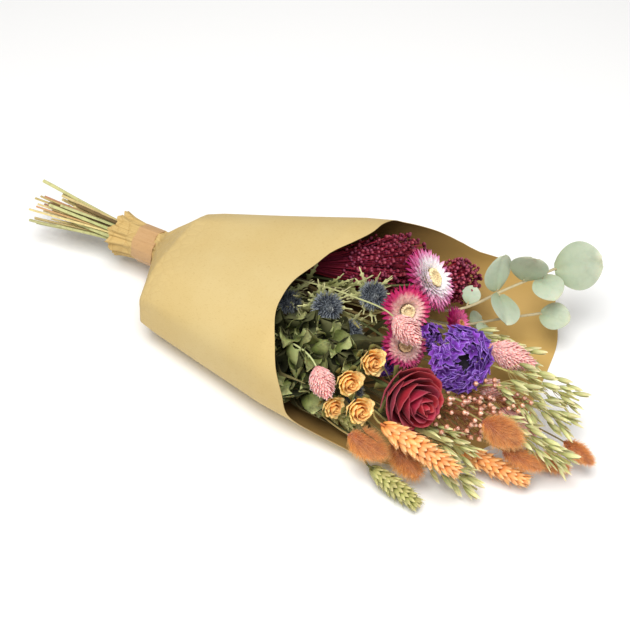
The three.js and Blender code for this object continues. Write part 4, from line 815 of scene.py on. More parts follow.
def round_about(tilt, turn):
    """Directions that leave the local Z axis by a tilt, at a turn round it."""
    return about_axis(np.sin(tilt), turn, np.cos(tilt) + 0 * turn)


def leaning(tilt, turn, way):
    """Directions that leave a bloom's way by a tilt, at a turn round it."""
    return round_about(tilt, turn) @ directions(way)[0]


def copies(template, at, axes, size, tone, finish):
    """The template once for each place: scaled, turned so that its X, Y and Z lie along the rows of axes."""
    count, corners = len(at), len(template["points"])
    size = np.asarray(size, float)
    size = size[:, None, :] if size.ndim == 2 else np.reshape(size, (-1, 1, 1))
    points = np.einsum("nmk,nkj->nmj", template["points"][None] * size + np.zeros((count, 1, 1)), axes)
    points = points + np.asarray(at)[:, None]
    first = (np.arange(count) * corners)[:, None, None]
    faces = [(f[None] + first).reshape(-1, f.shape[1]) for f in template["faces"]]
    along, across = (np.tile(template[key], count) for key in ("along", "across"))
    tones = np.repeat(np.broadcast_to(tone, count), corners)
    return part(points, faces, finish, along, across, tones)


def one_bend(start, bend, end, v):
    """A curve from start to end with one bend: the quadratic (1 - v)^2 start + 2 v (1 - v) bend + v^2 end."""
    return (1 - v) ** 2 * start + 2 * v * (1 - v) * bend + v ** 2 * end


def bract_ring(count, first, root, tip, width, lift):
    """Narrow pointed bracts round the Z axis, as grids. The middle line is a curve with one bend from its
    root (radius, height) to its tip; the half width swells past the root and falls off with the cube of the
    length to a point, and the sides stand up a little."""
    v, u = grid_shares(BRACT_ROWS, 3)
    turn = (first + np.arange(count) * 2 * np.pi / count)[:, None, None]
    bend = np.array([root[0] + (tip[0] - root[0]) * 0.62, root[1] + (tip[1] - root[1]) * 0.2 + lift])
    line = [one_bend(*ends, v) for ends in zip(root, bend, tip)]
    half = width / 2 * np.minimum(0.4 + 1.4 * v, 1) * (1.03 - v ** 3)
    across = (2 * u - 1) * half
    height = line[1] + 0.6 * half * (2 * u - 1) ** 2
    x = line[0] * np.cos(turn) - across * np.sin(turn)
    y = line[0] * np.sin(turn) + across * np.cos(turn)
    return np.stack([x, y, height + 0 * turn], -1)


floret = spun([(0.5, 0), (0.62, 0.5), (0.3, 1.0)], 5)
for number, (*way, length, radius) in STRAWFLOWERS.items():
    length, radius = length * MM, radius * MM
    name = f"strawflower_bloom_{number}"
    seat = foot_of(name, way)
    rng = np.random.default_rng(number + 30)
    pale, middle, deep, disc = STRAW_COLOURS[number]
    bract_finish = plant_finish(
        f"strawflower_{number}_bract", [(0.0, pale), (0.42, pale), (0.66, middle), (0.92, deep)], middle,
        scale=500.0, amount=0.1, ridges=5.0, depth=0.0003, Roughness=0.36,
        Subsurface_Weight=0.1, Subsurface_Scale=0.002, Specular_IOR_Level=0.5,
    )
    disc_finish = plant_finish(
        f"strawflower_{number}_disc", [(0.0, (150, 96, 44)), (1.0, disc)], (160, 104, 56), scale=900.0,
        amount=0.5, bump=0.4,
    )
    parts = []
    for layer in range(BRACT_LAYERS):
        share = layer / (BRACT_LAYERS - 1)  # 0 outside, 1 beside the disc
        count = int(np.interp(share, [0, 1], [31, 22]))
        tip = (radius * np.interp(share, [0, 0.4, 0.75, 1], [1.0, 0.92, 0.72, 0.46]),
               length * np.interp(share, [0, 0.4, 0.75, 1], [0.46, 0.8, 1.02, 1.06]))
        root = (radius * np.interp(share, [0, 1], [0.2, 0.3]), length * np.interp(share, [0, 1], [0.3, 0.74]))
        width = 2 * np.pi * (tip[0] * 0.62 + root[0] * 0.3) / count * 1.15
        ring = bract_ring(count, layer * 0.37 + 0.1, root, tip, width, 0.1 * length)
        uneven = np.linspace(0, 1, BRACT_ROWS)[:, None, None] ** 2 * MM
        ring += unit(ring) * rng.uniform(-1.6, 1.6, (count, 1, 1, 1)) * uneven
        ring[..., 2] += rng.uniform(-1.3, 1.3, (count, 1, 1)) * uneven[..., 0]
        place = np.linspace(0, 1, BRACT_ROWS) * 0.5 + 0.5 * (1 - share) + rng.uniform(-0.08, 0.08, (count, 1))
        parts.append(sheets(
            placed(ring, seat, way), BRACT_THICKNESS, bract_finish,
            rng.uniform(0.3, 0.75, count), np.clip(place, 0, 1),
        ))
    heart = radius * 0.21
    cushion = [
        (1.3 * MM, 0), (1.6 * MM, length * 0.18), (heart, length * 0.5), (heart, length * 0.7),
        (heart * 0.5, length * 0.8),
    ]
    parts.append(moved(spun(cushion, 20, disc_finish), seat, way, 0.3))
    # Florets in the turns of a sunflower: fine ones in the middle, and a collar of larger ones that stand up
    k = np.arange(DISC_FLORETS)
    out = heart * 1.08 * np.sqrt((k + 0.5) / DISC_FLORETS)
    turn = k * GOLDEN_TURN
    dome = length * (0.76 + 0.1 * np.exp(-((out / heart - 0.9) / 0.25) ** 2))
    at = about_axis(out, turn, dome)
    lean = directions(leaning(0.5 * out / heart, turn, way))
    size = radius * (0.04 + 0.035 * (out / heart) ** 2) * rng.uniform(0.8, 1.3, DISC_FLORETS)
    tones = rng.uniform(0.3, 1.0, DISC_FLORETS)
    parts.append(copies(floret, placed(at, seat, way), lean, size, tones, disc_finish))
    add_piece(f"strawflower_{number}", parts, name)

# The thistles. Sea holly: a dense dome of steel-blue florets, each with a stiff pale tip, over a ruff of
# stiff, spiny, yellow-green bracts. Two stems carry five heads.

THISTLES = {1: (32, 13), 2: (30, 12), 3: (28, 11), 4: (28, 11), 5: (24, 9.5)}  # length and radius
THISTLE_SPINES = 520
THISTLE_BRACTS = 20  # short ones under the head
STEM_LEAVES = 14  # further down its stalk
BLADE_ROWS, BLADE_TEETH = 21, 4
BLADE_THICKNESS = 0.35 * MM

thistle_blue = plant_finish(
    "thistle_floret",
    [(0.0, (34, 38, 46)), (0.4, (84, 92, 104)), (0.75, (148, 156, 164)), (1.0, (206, 210, 206))],
    (44, 46, 56), scale=500.0, amount=0.5,
)
thistle_bract = plant_finish(
    "thistle_bract",
    [(0.0, (122, 124, 70)), (0.4, (176, 178, 116)), (1.0, (222, 216, 160))],
    (94, 88, 50), scale=300.0, ridges=3.0,
)
spine = spun([(0.5, 0), (0.62, 0.3), (0.42, 0.7), (0.06, 1.0)], 3)


def spiny_leaves(root, tip, face, width):
    """Stiff pointed blades from their roots to their tips, as grids: the half width runs out towards the
    tip, and at each tooth it shoots out and falls back. The blade is folded along its middle and bends a
    little."""
    root, tip = np.atleast_2d(root), np.atleast_2d(tip)
    v, u = grid_shares(BLADE_ROWS, 3)
    axes = directions(tip - root, face)[:, None, None]
    reach = np.linalg.norm(tip - root, axis=1)[:, None, None, None]
    tooth = 0.4 + 1.5 * ((v * BLADE_TEETH) % 1) ** 3
    half = (np.reshape(width, (-1, 1, 1)) / 2 * tooth * np.maximum(1 - v, 0.02) ** 0.7)[..., None]
    aside = (2 * u - 1)[:, None] * half
    up = -0.35 * np.abs(aside) + 0.06 * reach * np.sin(np.pi * v)[..., None]
    line = root[:, None, None] + (tip - root)[:, None, None] * v[..., None]
    return line + axes[..., 0, :] * aside + axes[..., 1, :] * up


def slender(thick, long):
    """Sizes for copies that are equally thick both ways across their length."""
    thick = thick + 0 * long
    return np.stack([thick, thick, long], -1)


def in_wrap(points, room=0.93):
    """Points that would reach through the paper or the table, drawn back towards the middle of its section
    until they lie at the given share of the way out."""
    place = points - TABLE_SPOT
    near, far, low, high = (np.interp(place[..., 0], SLEEVE[:, 0], SLEEVE[:, k]) for k in (1, 2, 3, 4))
    middle = (low + high) / 2
    aside = place[..., 1] / np.where(place[..., 1] > 0, far, near)
    above = (place[..., 2] - middle) / ((high - low) / 2)
    reach = (np.abs(aside) ** SQUARENESS + np.abs(above) ** SQUARENESS) ** (1 / SQUARENESS)
    share = np.minimum(1, room / np.maximum(reach, 0.01))
    height = middle + (place[..., 2] - middle) * share
    return np.stack([place[..., 0], place[..., 1] * share, np.maximum(height, 2 * MM)], -1) + TABLE_SPOT


def egg_places(count, low, high, radius, widest, seed, from_share=0.0):
    """Places spread in a spiral over an egg about Z: their heights, radii, turns and slopes of the surface.
    Equal areas hold equally many."""
    rng = np.random.default_rng(seed)
    power = np.log(0.5) / np.log(widest)
    fine = np.linspace(0.001, 0.999, 400)
    weight = np.sin(np.pi * fine ** power) + 0.04
    weight[fine < from_share] = 0
    share = np.interp((np.arange(count) + 0.5) / count, np.cumsum(weight) / weight.sum(), fine)
    share = np.clip(share + rng.uniform(-0.3, 0.3, count) / count, 0.003, 0.997)
    out = radius * np.sin(np.pi * share ** power)
    slope = np.gradient(radius * np.sin(np.pi * fine ** power), fine * (high - low))
    tilt = np.pi / 2 - np.arctan(-np.interp(share, fine, slope))
    return low + (high - low) * share, out, np.arange(count) * GOLDEN_TURN, tilt


def egg(low, high, radius, finish, widest):
    """The closed egg that those places lie on."""
    share = np.linspace(0.015, 0.985, 12)
    across = radius * np.sin(np.pi * share ** (np.log(0.5) / np.log(widest)))
    return spun(np.stack([across, low + (high - low) * share], -1), 16, finish)


for number, (length, radius) in THISTLES.items():
    length, radius = length * MM, radius * MM
    name = f"thistle_head_{number}"
    way = HEAD_WAYS[name]
    seat = foot_of(name, way)
    rng = np.random.default_rng(number + 50)
    low, high = radius * 0.5, length - 5 * MM
    height, out, turn, tilt = egg_places(
        THISTLE_SPINES, low, high, radius * 0.66, 0.4, number, from_share=0.08,
    )
    at = placed(about_axis(out, turn, height), seat, way)
    loose = rng.normal(0, 0.16, (THISTLE_SPINES, 3))
    lean = unit(leaning(np.clip(tilt * 0.8, 0.05, 2), turn, way) + loose)
    thick = rng.uniform(0.05, 0.085, THISTLE_SPINES)
    size = slender(thick, rng.uniform(0.34, 0.62, THISTLE_SPINES)) * radius
    calyx = [(1.2 * MM, 0), (1.8 * MM, 2 * MM), (radius * 0.5, low + 2 * MM), (radius * 0.4, low + 5 * MM)]
    parts = [
        moved(egg(low, high, radius * 0.68, thistle_blue, widest=0.4), seat, way, 0.1),
        copies(spine, at, directions(lean), size, rng.uniform(0.3, 1.0, THISTLE_SPINES), thistle_blue),
        moved(spun(calyx, 12, thistle_bract), seat, way),
    ]
    # The long bracts end where the solid's do: its corners that lie far from the middle line
    corners = corners_of(name) - seat
    ahead = unit(way)
    off = corners - np.outer(corners @ ahead, ahead)
    tips = corners[np.linalg.norm(off, axis=1) > radius * 1.2] + seat
    spread = np.arange(THISTLE_BRACTS) * GOLDEN_TURN + rng.uniform(-0.3, 0.3, THISTLE_BRACTS)
    reach = radius * rng.uniform(1.3, 2.5, THISTLE_BRACTS)
    short_tips = round_about(rng.uniform(0.6, 1.35, THISTLE_BRACTS), spread) * reach[:, None] + (0, 0, 4 * MM)
    tips = np.concatenate([tips, placed(short_tips, seat, way)])
    aside = tips - seat - ahead * ((tips - seat) @ ahead)[:, None]
    roots = seat + ahead * 4 * MM + unit(aside) * radius * 0.3
    # Leaves lower on the stalk, which leads from the tie to the head
    down = unit(TIE - seat)
    leaf_root = seat + down * rng.uniform(8, 62, STEM_LEAVES)[:, None] * MM
    leaf_turn = np.arange(STEM_LEAVES) * GOLDEN_TURN
    leaf_way = leaning(rng.uniform(0.6, 1.3, STEM_LEAVES), leaf_turn, -down)
    leaf_tip = leaf_root + leaf_way * rng.uniform(18, 30, STEM_LEAVES)[:, None] * MM
    roots = np.concatenate([roots, in_wrap(leaf_root)])
    tips = np.concatenate([tips, in_wrap(leaf_tip)])
    blades = spiny_leaves(roots, tips, ahead, rng.uniform(6.0, 10.0, len(tips)) * MM)
    parts.append(sheets(blades, BLADE_THICKNESS, thistle_bract, rng.uniform(0.3, 1.0, len(tips))))
    add_piece(f"sea_holly_{number}", parts, name)

# The statice. Frilled, papery violet cups crowd round the hollow of each cluster, which is darkened with
# painted shade. They keep their colour when dry.

STATICE = {1: (30, 28, 130), 2: (20, 9, 26), 3: (20, 11, 32)}  # length, radius and number of cups

# The pale lavender at the rims is a painted highlight, and the darker violet down inside each cup is painted
# shade.
statice_petal = plant_finish(
    "statice_petal",
    [(0.0, (96, 104, 70)), (0.25, (50, 14, 76)), (0.6, (106, 40, 150)), (0.88, (136, 70, 192)),
     (1.0, (176, 134, 228))],
    (50, 12, 78), scale=160.0, amount=0.8, ridges=15.0, bump=0.4, depth=0.0004,
)
# The dish under the cups: green below, and near black at its middle, deep in the hollow: painted shade.
statice_dish_and_shade = plant_finish(
    "statice_dish_and_shade", [(0.0, (120, 128, 76)), (0.6, (50, 28, 68)), (1.0, (22, 20, 14))],
    (30, 26, 30), scale=400.0, ridges=8.0,
)
# The cup's along values run up its outside to the rim (1) and back down inside it.
cup = spun(
    [(0.12, 0), (0.2, 0.4), (0.5, 0.8), (1.1, 1.0), (1.02, 1.06), (0.4, 0.84), (0.08, 0.72)], 15, frill=0.4,
    along=[0.1, 0.3, 0.6, 1.0, 0.95, 0.5, 0.3],
)
for number, (length, radius, count) in STATICE.items():
    length, radius = length * MM, radius * MM
    name = f"statice_bloom_{number}"
    way = HEAD_WAYS[name]
    seat = foot_of(name, way)
    rng = np.random.default_rng(number + 70)
    k = np.arange(count)
    share = np.sqrt(0.16 + 0.84 * (k + 0.5) / count)  # the middle stays a dark hollow
    turn = k * GOLDEN_TURN + rng.uniform(-0.2, 0.2, count)
    clump = ripple(np.stack([np.cos(turn), np.sin(turn), share * 2], -1), 2.2, number, 5)
    out = radius * (0.06 + 0.7 * share) * (1 + 0.13 * clump)
    hollow = np.exp(-(share / 0.55) ** 2)
    rise = length * (0.5 + 0.1 * clump - 0.2 * share ** 3 - 0.45 * hollow)
    at = about_axis(out, turn, rise) + rng.normal(0, 1.1 * MM, (count, 3))
    loose = rng.normal(0, 0.4, (count, 3))
    lean = unit(leaning(0.15 + 1.1 * share ** 2, turn, way) + loose)
    size = rng.uniform(0.34, 0.66, count) * (radius * 0.22 + 8 * MM) * (1 - 0.45 * hollow)
    # Cups in the hollow get low tones, so they come out darker: painted shade.
    tones = rng.uniform(0, 1, count) * (1 - hollow)
    size = np.stack([size * 0.95, size * 0.75, size], -1)
    dish = [
        (1.1 * MM, 0), (1.4 * MM, length * 0.1), (radius * 0.5, length * 0.36), (radius * 0.45, length * 0.4),
        (radius * 0.08, length * 0.12),
    ]
    parts = [
        moved(spun(dish, 14, statice_dish_and_shade), seat, way),
        copies(cup, placed(at, seat, way), directions(lean), size, tones, statice_petal),
    ]
    add_piece(f"statice_{number}", parts, name)

# The canary grass. Each dyed ear is a dense oval of keeled, papery scales that overlap upwards, on its own
# thin stalk, which runs through the tie like every other.

PHALARIS = {  # way, length, radius and number of scales
    1: (0.72, -0.64, -0.2, 32, 10.5, 360), 2: (0.88, -0.42, -0.08, 36, 11, 410), 3: (1, 0, 0, 48, 12, 520),
    4: (1, -0.2, 0, 30, 9, 300), 5: (0.98, -0.16, -0.06, 42, 9, 390),
}
EAR_STALK = 1.1 * MM  # radius
EAR_TIP = 3 * MM  # a packed ear ends this far short of its full length
SCALE_THICKNESS = 0.05  # of a scale one unit long


def scale_shape(rows, columns, width, depth):
    """One pointed, keeled scale along Z, open towards -Y, as a closed thin sheet. Its half width and the
    stand of its middle, up to `depth`, follow a sine over its length, so that it runs out in a point and
    its tip bends in."""
    v, u = grid_shares(rows, columns)
    half = width / 2 * np.sin(np.pi * (0.1 + 0.87 * v)) ** 0.8
    across = 2 * u - 1
    out = depth * np.sin(np.pi * (0.15 + 0.8 * v)) * (1 - across ** 2)
    surface = np.stack([-across * half, out, v + 0 * u], -1)
    return sheets(surface[None], SCALE_THICKNESS, None)


def tip_of(solid, way):
    """The corner of a solid that lies furthest along the way it points."""
    corners = corners_of(solid)
    return corners[np.argmax(corners @ unit(way))]


def ear_of(solid, way, length, radius, tip=EAR_TIP):
    """Where a packed ear grows from, and its stalk's path: its solid's farthest corner is its tip."""
    ahead = unit(way)
    foot = tip_of(solid, way)
    foot = foot - ahead * ((foot - TIE) @ ahead - (tip_of(solid, way) - TIE) @ ahead + length - tip)
    path = ring_middles(solid, radius)
    path = path[path[:, 0] < foot[0] - 12 * MM]
    return foot, np.concatenate([path, [foot, foot + ahead * 5 * MM]])


phalaris_scale = plant_finish(
    "canary_grass_scale",
    [(0.0, (226, 132, 134)), (0.3, (244, 160, 160)), (0.75, (251, 196, 190)), (1.0, (255, 228, 220))],
    (232, 142, 142), scale=420.0, amount=0.3, ridges=3.0, depth=0.0003, Subsurface_Weight=0.15,
    Subsurface_Scale=0.002,
)
pink_stalk = plant_finish(
    "pale_grass_stalk", [(0.0, (206, 150, 110)), (0.3, (180, 172, 110)), (1.0, (204, 210, 150))],
    (150, 140, 80), scale=160.0, ridges=4.0,
)
keeled = scale_shape(4, 3, 0.42, 0.12)
for number, (*way, length, radius, count) in PHALARIS.items():
    name = f"phalaris_{number}"
    length, radius = length * MM, radius * MM
    foot, path = ear_of(name, way, length, EAR_STALK)
    seed = number + 90
    rng = np.random.default_rng(seed)
    height, out, turn, tilt = egg_places(count, -1 * MM, length - 4 * MM, radius * 0.76, 0.45, number)
    at = placed(about_axis(out, turn, height), foot, way)
    loose = rng.normal(0, 0.1, (count, 3))
    lean = unit(leaning(np.clip(tilt * 0.4, 0.04, 0.6), turn, way) + loose)
    outward = leaning(np.pi / 2, turn, way)
    scale_long = rng.uniform(5.0, 6.9, count) * MM
    tones = rng.uniform(0.3, 0.9, count)
    parts = [
        stalk(path, EAR_STALK, pink_stalk, seed),
        moved(egg(-1 * MM, length - 5 * MM, radius * 0.78, phalaris_scale, widest=0.45), foot, way, 0.3),
        copies(keeled, at, directions(lean, outward), scale_long, tones, phalaris_scale),
    ]
    add_piece(f"canary_grass_{number}", parts, name)

# The wheat. Plump pointed grains in their husks sit in fans of three, on four sides of a stiff axis, so that
# the ear looks plaited. Short bristles stand on their tips. Two ears are ripe and two were cut green.

WHEAT = {  # way, length and radius
    1: (1, -0.04, -0.2, 82, 9.5), 2: (1, 0.04, -0.1, 70, 8.5), 3: (0.95, -0.18, -0.1, 52, 8.5),
    4: (0.97, -0.2, -0.13, 60, 8),
}
RIPE_EARS = 2  # the first ones, and the others are green
WHEAT_STALK = 1.3 * MM  # radius
NODE_SPACING = 3.7 * MM  # between two rows of grains along an ear
GRASS_LEAVES = 4  # on each stalk of wheat or oats
GRASS_LEAF_THICKNESS = 0.25 * MM
wheat_husk = plant_finish(
    "wheat_husk",
    [(0.0, (190, 104, 46)), (0.35, (232, 148, 80)), (0.75, (250, 190, 124)), (1.0, (254, 224, 176))],
    (206, 116, 50), scale=300.0, amount=0.3, ridges=7.0, bump=0.35, depth=0.0004, Roughness=0.45,
)
green_husk = plant_finish(
    "green_wheat_husk",
    [(0.0, (116, 116, 58)), (0.45, (166, 166, 98)), (0.85, (208, 200, 134)), (1.0, (234, 218, 160))],
    (122, 116, 60), scale=300.0, ridges=7.0, bump=0.35, depth=0.0004, Roughness=0.45,
)
husk_shape = spun([(0.1, 0), (0.72, 0.14), (1.0, 0.38), (0.86, 0.64), (0.42, 0.88), (0.07, 1.0)], 7, oval=0.8)
bristle = spun([(1.0, 0), (0.6, 0.5), (0.15, 1.0)], 3)
# The dry grass leaves' olive colour, darkened as painted shade deep in the mouth.
shaded_straw_leaf = plant_finish(
    "shaded_straw_leaf", [(0.0, (76, 70, 40)), (0.5, (92, 88, 50)), (1.0, (150, 138, 86))],
    (46, 38, 24), scale=90.0, amount=0.7, ridges=7.0, depth=0.0005,
)


def grass_leaves(path, seed):
    """Long narrow dry leaves that leave a stalk inside the sleeve. With v along a leaf, its middle line
    runs the way it starts, strays to one side with the square of v and sinks with its cube. Its width runs
    out at both ends."""
    rng = np.random.default_rng(seed + 300)
    share = rng.uniform(0.4, 0.82, GRASS_LEAVES)
    x = TIE[0] + share * (path[-1, 0] - TIE[0])
    start = np.stack([np.interp(x, path[:, 0], path[:, k]) for k in range(3)], -1)[:, None]
    onward = path[-1] - path[-3]
    ahead = unit(onward + rng.normal(0, 0.3, (GRASS_LEAVES, 3)) * np.linalg.norm(onward))[:, None]
    stray = unit(rng.normal(0, 1, (GRASS_LEAVES, 1, 3)))
    long = rng.uniform(50, 105, GRASS_LEAVES)[:, None, None] * MM
    v, u = np.linspace(0, 1, 14)[None, :, None], np.linspace(-1, 1, 3)
    line = start + ahead * long * v + stray * long * 0.22 * v ** 2 - (0, 0, 1) * long * 0.12 * v ** 3
    twist = 1.5 * v[..., None]
    aside = unit(np.cross(ahead, stray))[:, :, None] * np.cos(twist) + stray[:, :, None] * np.sin(twist)
    half = 2.6 * MM * np.sin(np.pi * (0.06 + 0.9 * v)) ** 0.6
    surface = line[:, :, None] + aside * (half * u)[..., None]
    tones = rng.uniform(0.1, 0.9, GRASS_LEAVES)
    return sheets(in_wrap(surface, 0.9), GRASS_LEAF_THICKNESS, shaded_straw_leaf, tones)


for number, (*way, length, radius) in WHEAT.items():
    name = f"wheat_{number}"
    length, radius = length * MM, radius * MM
    foot, path = ear_of(name, way, length, WHEAT_STALK)
    seed = number + 110
    rng = np.random.default_rng(seed)
    husk_finish, stem_finish = (wheat_husk, straw_stalk) if number <= RIPE_EARS else (green_husk, green_stalk)
    node_count = int(length / NODE_SPACING)
    share = (np.repeat(np.arange(node_count), 6) + 0.5) / node_count
    quarter = np.repeat(np.arange(node_count) % 2, 6) * np.pi / 2
    side = np.tile([0, 0, 0, 1, 1, 1], node_count) * np.pi + quarter
    fan = np.tile([-0.5, 0, 0.5], 2 * node_count)
    plump = radius * np.interp(share, [0, 0.2, 0.5, 0.85, 1], [0.7, 1.04, 1.08, 0.84, 0.5])
    turn = side + fan * 1.05 + 0.5
    grain_long = (radius * 0.55 + 7.4 * MM) * rng.uniform(0.85, 1.1, len(share))
    grain_long = grain_long * np.interp(share, [0, 0.9, 1], [1, 1, 0.7])
    base = share * (length - 11 * MM)
    at = about_axis(plump * 0.3, turn, base)
    tilt = np.arcsin(np.clip(plump * 0.76 / grain_long, 0, 0.8)) * (1 - 0.2 * (fan == 0))
    tilt = tilt + rng.normal(0, 0.09, len(share))
    lean = leaning(tilt, turn, way)
    outward = leaning(np.pi / 2, turn, way)
    frames = directions(lean, outward)
    thick = plump * 0.29
    size = slender(thick, grain_long)
    tones = rng.uniform(0.3, 0.8, len(share))
    start = placed(at, foot, way)
    ends = start + frames[:, 2] * grain_long[:, None] * 0.96
    bristle_long = rng.uniform(3, 8, len(share)) * MM * np.interp(share, [0, 0.75, 1], [0.9, 0.8, 0.1])
    axis = foot + np.linspace(0, 0.94, 6)[:, None] * unit(way) * length
    parts = [
        stalk(path, WHEAT_STALK, stem_finish, seed),
        tubes([axis], 1.2 * MM, husk_finish),
        copies(husk_shape, start, frames, size, tones, husk_finish),
        copies(bristle, ends, frames, slender(0.22 * MM, bristle_long), tones, husk_finish),
        grass_leaves(path, number),
    ]
    add_piece(f"wheat_ear_{number}", parts, name)

# The bunny tails. Soft, dense grass heads dyed brown orange: thousands of fine hairs lean forward out of a
# small oval core, on thin stalks.

BUNNY_TAILS = {  # way, length and radius
    1: (1, -0.03, -0.1, 42, 11.5), 2: (0.86, -0.5, -0.04, 48, 11.5), 3: (1, 0, -0.18, 42, 12),
    4: (1, 0.02, -0.1, 42, 8), 5: (0.96, -0.25, -0.06, 38, 7), 6: (1, 0.06, -0.03, 40, 7),
}
BUNNY_TIP = 2 * MM  # a packed tail ends this far short of its full length
HAIRS = 4000  # on a tail 24 mm thick
bunny_fur = plant_finish(
    "bunny_tail_hair",
    [(0.0, (184, 102, 42)), (0.4, (230, 148, 72)), (0.8, (246, 184, 110)), (1.0, (253, 220, 164))],
    (204, 118, 50), scale=160.0, amount=0.5, ridges=1.0, bump=0.05, Roughness=0.85, Sheen_Weight=0.3,
    Sheen_Roughness=0.5,
)
hair = spun([(1.0, 0), (0.12, 1.0)], 3)
for number, (*way, length, radius) in BUNNY_TAILS.items():
    name = f"bunny_tail_{number}"
    length, radius = length * MM, radius * MM
    foot, path = ear_of(name, way, length, EAR_STALK, tip=BUNNY_TIP)
    seed = number + 130
    rng = np.random.default_rng(seed)
    count = int(HAIRS * radius / (12 * MM))
    height, out, turn, tilt = egg_places(count, 0, length - 7 * MM, radius * 0.66, 0.46, number)
    turn = turn + rng.uniform(-0.3, 0.3, count)
    at = placed(about_axis(out, turn, height), foot, way)
    lean_tilt = np.clip(tilt * 0.5 + rng.normal(0, 0.3, count), 0.02, 1.3)
    lean = leaning(lean_tilt, turn + rng.normal(0, 0.15, count), way)
    hair_long = radius * rng.uniform(0.3, 0.8, count) + 1.2 * MM + 2.5 * MM * rng.uniform(0, 1, count) ** 6
    hair_thick = rng.uniform(0.12, 0.22, count) * MM
    tufts = 0.62 + 0.35 * ripple(at, 6 * MM, number) + rng.uniform(-0.4, 0.4, count)
    parts = [
        stalk(path, EAR_STALK, straw_stalk, seed),
        moved(egg(-1 * MM, length - 6 * MM, radius * 0.72, bunny_fur, widest=0.46), foot, way, 0.1),
        copies(hair, at, directions(lean), slender(hair_thick, hair_long), np.clip(tufts, 0, 1), bunny_fur),
    ]
    add_piece(f"bunny_tail_fur_{number}", parts, name)

# The broom. Millet-like broom corn dyed dark red: tight clouds of small round fruits on many fine, stiff,
# crimson branchlets that leave the stalk together.

# Way, length, radius and number of fruits
BROOM = {1: (0.9, 0.42, 0.06, 112, 33, 1300), 2: (0.88, 0.2, 0.38, 52, 22, 460)}
BROOM_TWIGS = 150
BROOM_STALK = 2 * MM  # radius
# The fruits go from deep crimson at their foot to pink at their outer end: partly their own paler tips,
# partly a painted highlight.
broom_fruit = plant_finish(
    "broom_fruit",
    [(0.0, (54, 6, 20)), (0.5, (104, 18, 42)), (1.0, (184, 84, 108))],
    (52, 6, 22), scale=700.0, amount=0.5, ridges=0.0, bump=0.2, depth=0.0003, Roughness=0.5,
)
broom_twig = plant_finish(
    "broom_twig", [(0.0, (120, 16, 40)), (1.0, (168, 34, 62))], (70, 8, 24), scale=300.0, ridges=3.0,
)
broom_stalk = plant_finish(
    "broom_stalk", [(0.0, (214, 212, 150)), (0.5, (180, 168, 106)), (0.72, (150, 34, 58))],
    (130, 110, 66), scale=160.0, ridges=5.0,
)
round_fruit = spun([(0.25, 0), (0.82, 0.2), (1.0, 0.5), (0.7, 0.85), (0.2, 1.0)], 6)


def run_on(path, onward, *shares):
    """A path that runs on past its end, by these shares of the way onward."""
    return [*path, *(path[-1] + onward * share for share in shares)]


for number, (*way, length, radius, count) in BROOM.items():
    name = f"broom_bunch_{number}"
    length, radius = length * MM, radius * MM
    path = ring_middles(name, BROOM_STALK)
    foot = path[-1]
    ahead = unit(way)
    seed = number + 150
    rng = np.random.default_rng(seed)
    share = 0.28 + 0.72 * rng.beta(1.5, 1.6, count)
    wide = radius * np.sqrt(rng.uniform(0.02, 1, count))
    out = wide * np.interp(share, [0.25, 0.55, 0.8, 1], [0.45, 0.86, 0.9, 0.5])
    turn = rng.uniform(0, 2 * np.pi, count)
    tips = about_axis(out, turn, share * length - 3 * MM)
    ends = tips[:BROOM_TWIGS]
    start = ends * (0.16, 0.16, 0) + (0, 0, 1) * (ends[:, 2:] * 0.05 - 12 * MM)
    bend = start + (ends - start) * (0.5, 0.5, 0.55) + rng.normal(0, 1.6 * MM, ends.shape)
    v = np.linspace(0, 1, 7)[None, :, None]
    twig_paths = one_bend(start[:, None], bend[:, None], ends[:, None], v)
    lean = unit(tips - (0, 0, 0.02)) @ directions(way)[0]
    size = rng.uniform(2.7, 4.2, count)[:, None] * MM * np.array([0.52, 0.52, 1])
    parts = [
        stalk(run_on(path, ahead * length, 0.3), BROOM_STALK, broom_stalk, seed),
        tubes(placed(twig_paths, foot, way), 0.34 * MM, broom_twig, 3, rng.uniform(0.0, 1.0, BROOM_TWIGS)),
        tubes(placed(np.stack([tips * 0.82, tips], 1), foot, way), 0.2 * MM, broom_twig, 3),
        copies(
            round_fruit, placed(tips, foot, way), directions(lean), size,
            rng.uniform(0, 1, count), broom_fruit,
        ),
    ]
    add_piece(f"broom_corn_{number}", parts, name)

# The oats. Each spikelet hangs on a hair-thin branchlet: two long, pointed, ribbed glumes part over a small
# floret. They dry to a shiny sage straw.

OATS = {  # way, length, radius and number of spikelets
    1: (1, 0.02, -0.04, 78, 18, 26), 2: (1, -0.02, -0.12, 84, 16, 27), 3: (1, -0.08, -0.12, 86, 15, 27),
    4: (0.98, -0.1, -0.12, 62, 14, 18), 5: (1, 0.02, 0, 80, 17, 26), 6: (1, -0.1, 0.04, 62, 15, 18),
}
OAT_STALK = 1.3 * MM  # radius
oat_glume = plant_finish(
    "oat_glume",
    [(0.0, (146, 148, 84)), (0.4, (188, 188, 126)), (0.8, (222, 216, 160)), (1.0, (246, 234, 190))],
    (158, 146, 88), scale=260.0, bump=0.35, depth=0.0003, Roughness=0.38,
    Subsurface_Weight=0.1, Subsurface_Scale=0.002,
)
oat_stem = plant_finish(
    "oat_stem", [(0.0, (206, 186, 122)), (1.0, (178, 172, 104))], (140, 120, 66), scale=160.0, ridges=4.0,
)
glume = scale_shape(7, 5, 0.26, 0.1)
seed_shape = spun([(0.1, 0), (0.8, 0.3), (0.9, 0.55), (0.1, 1.0)], 6)


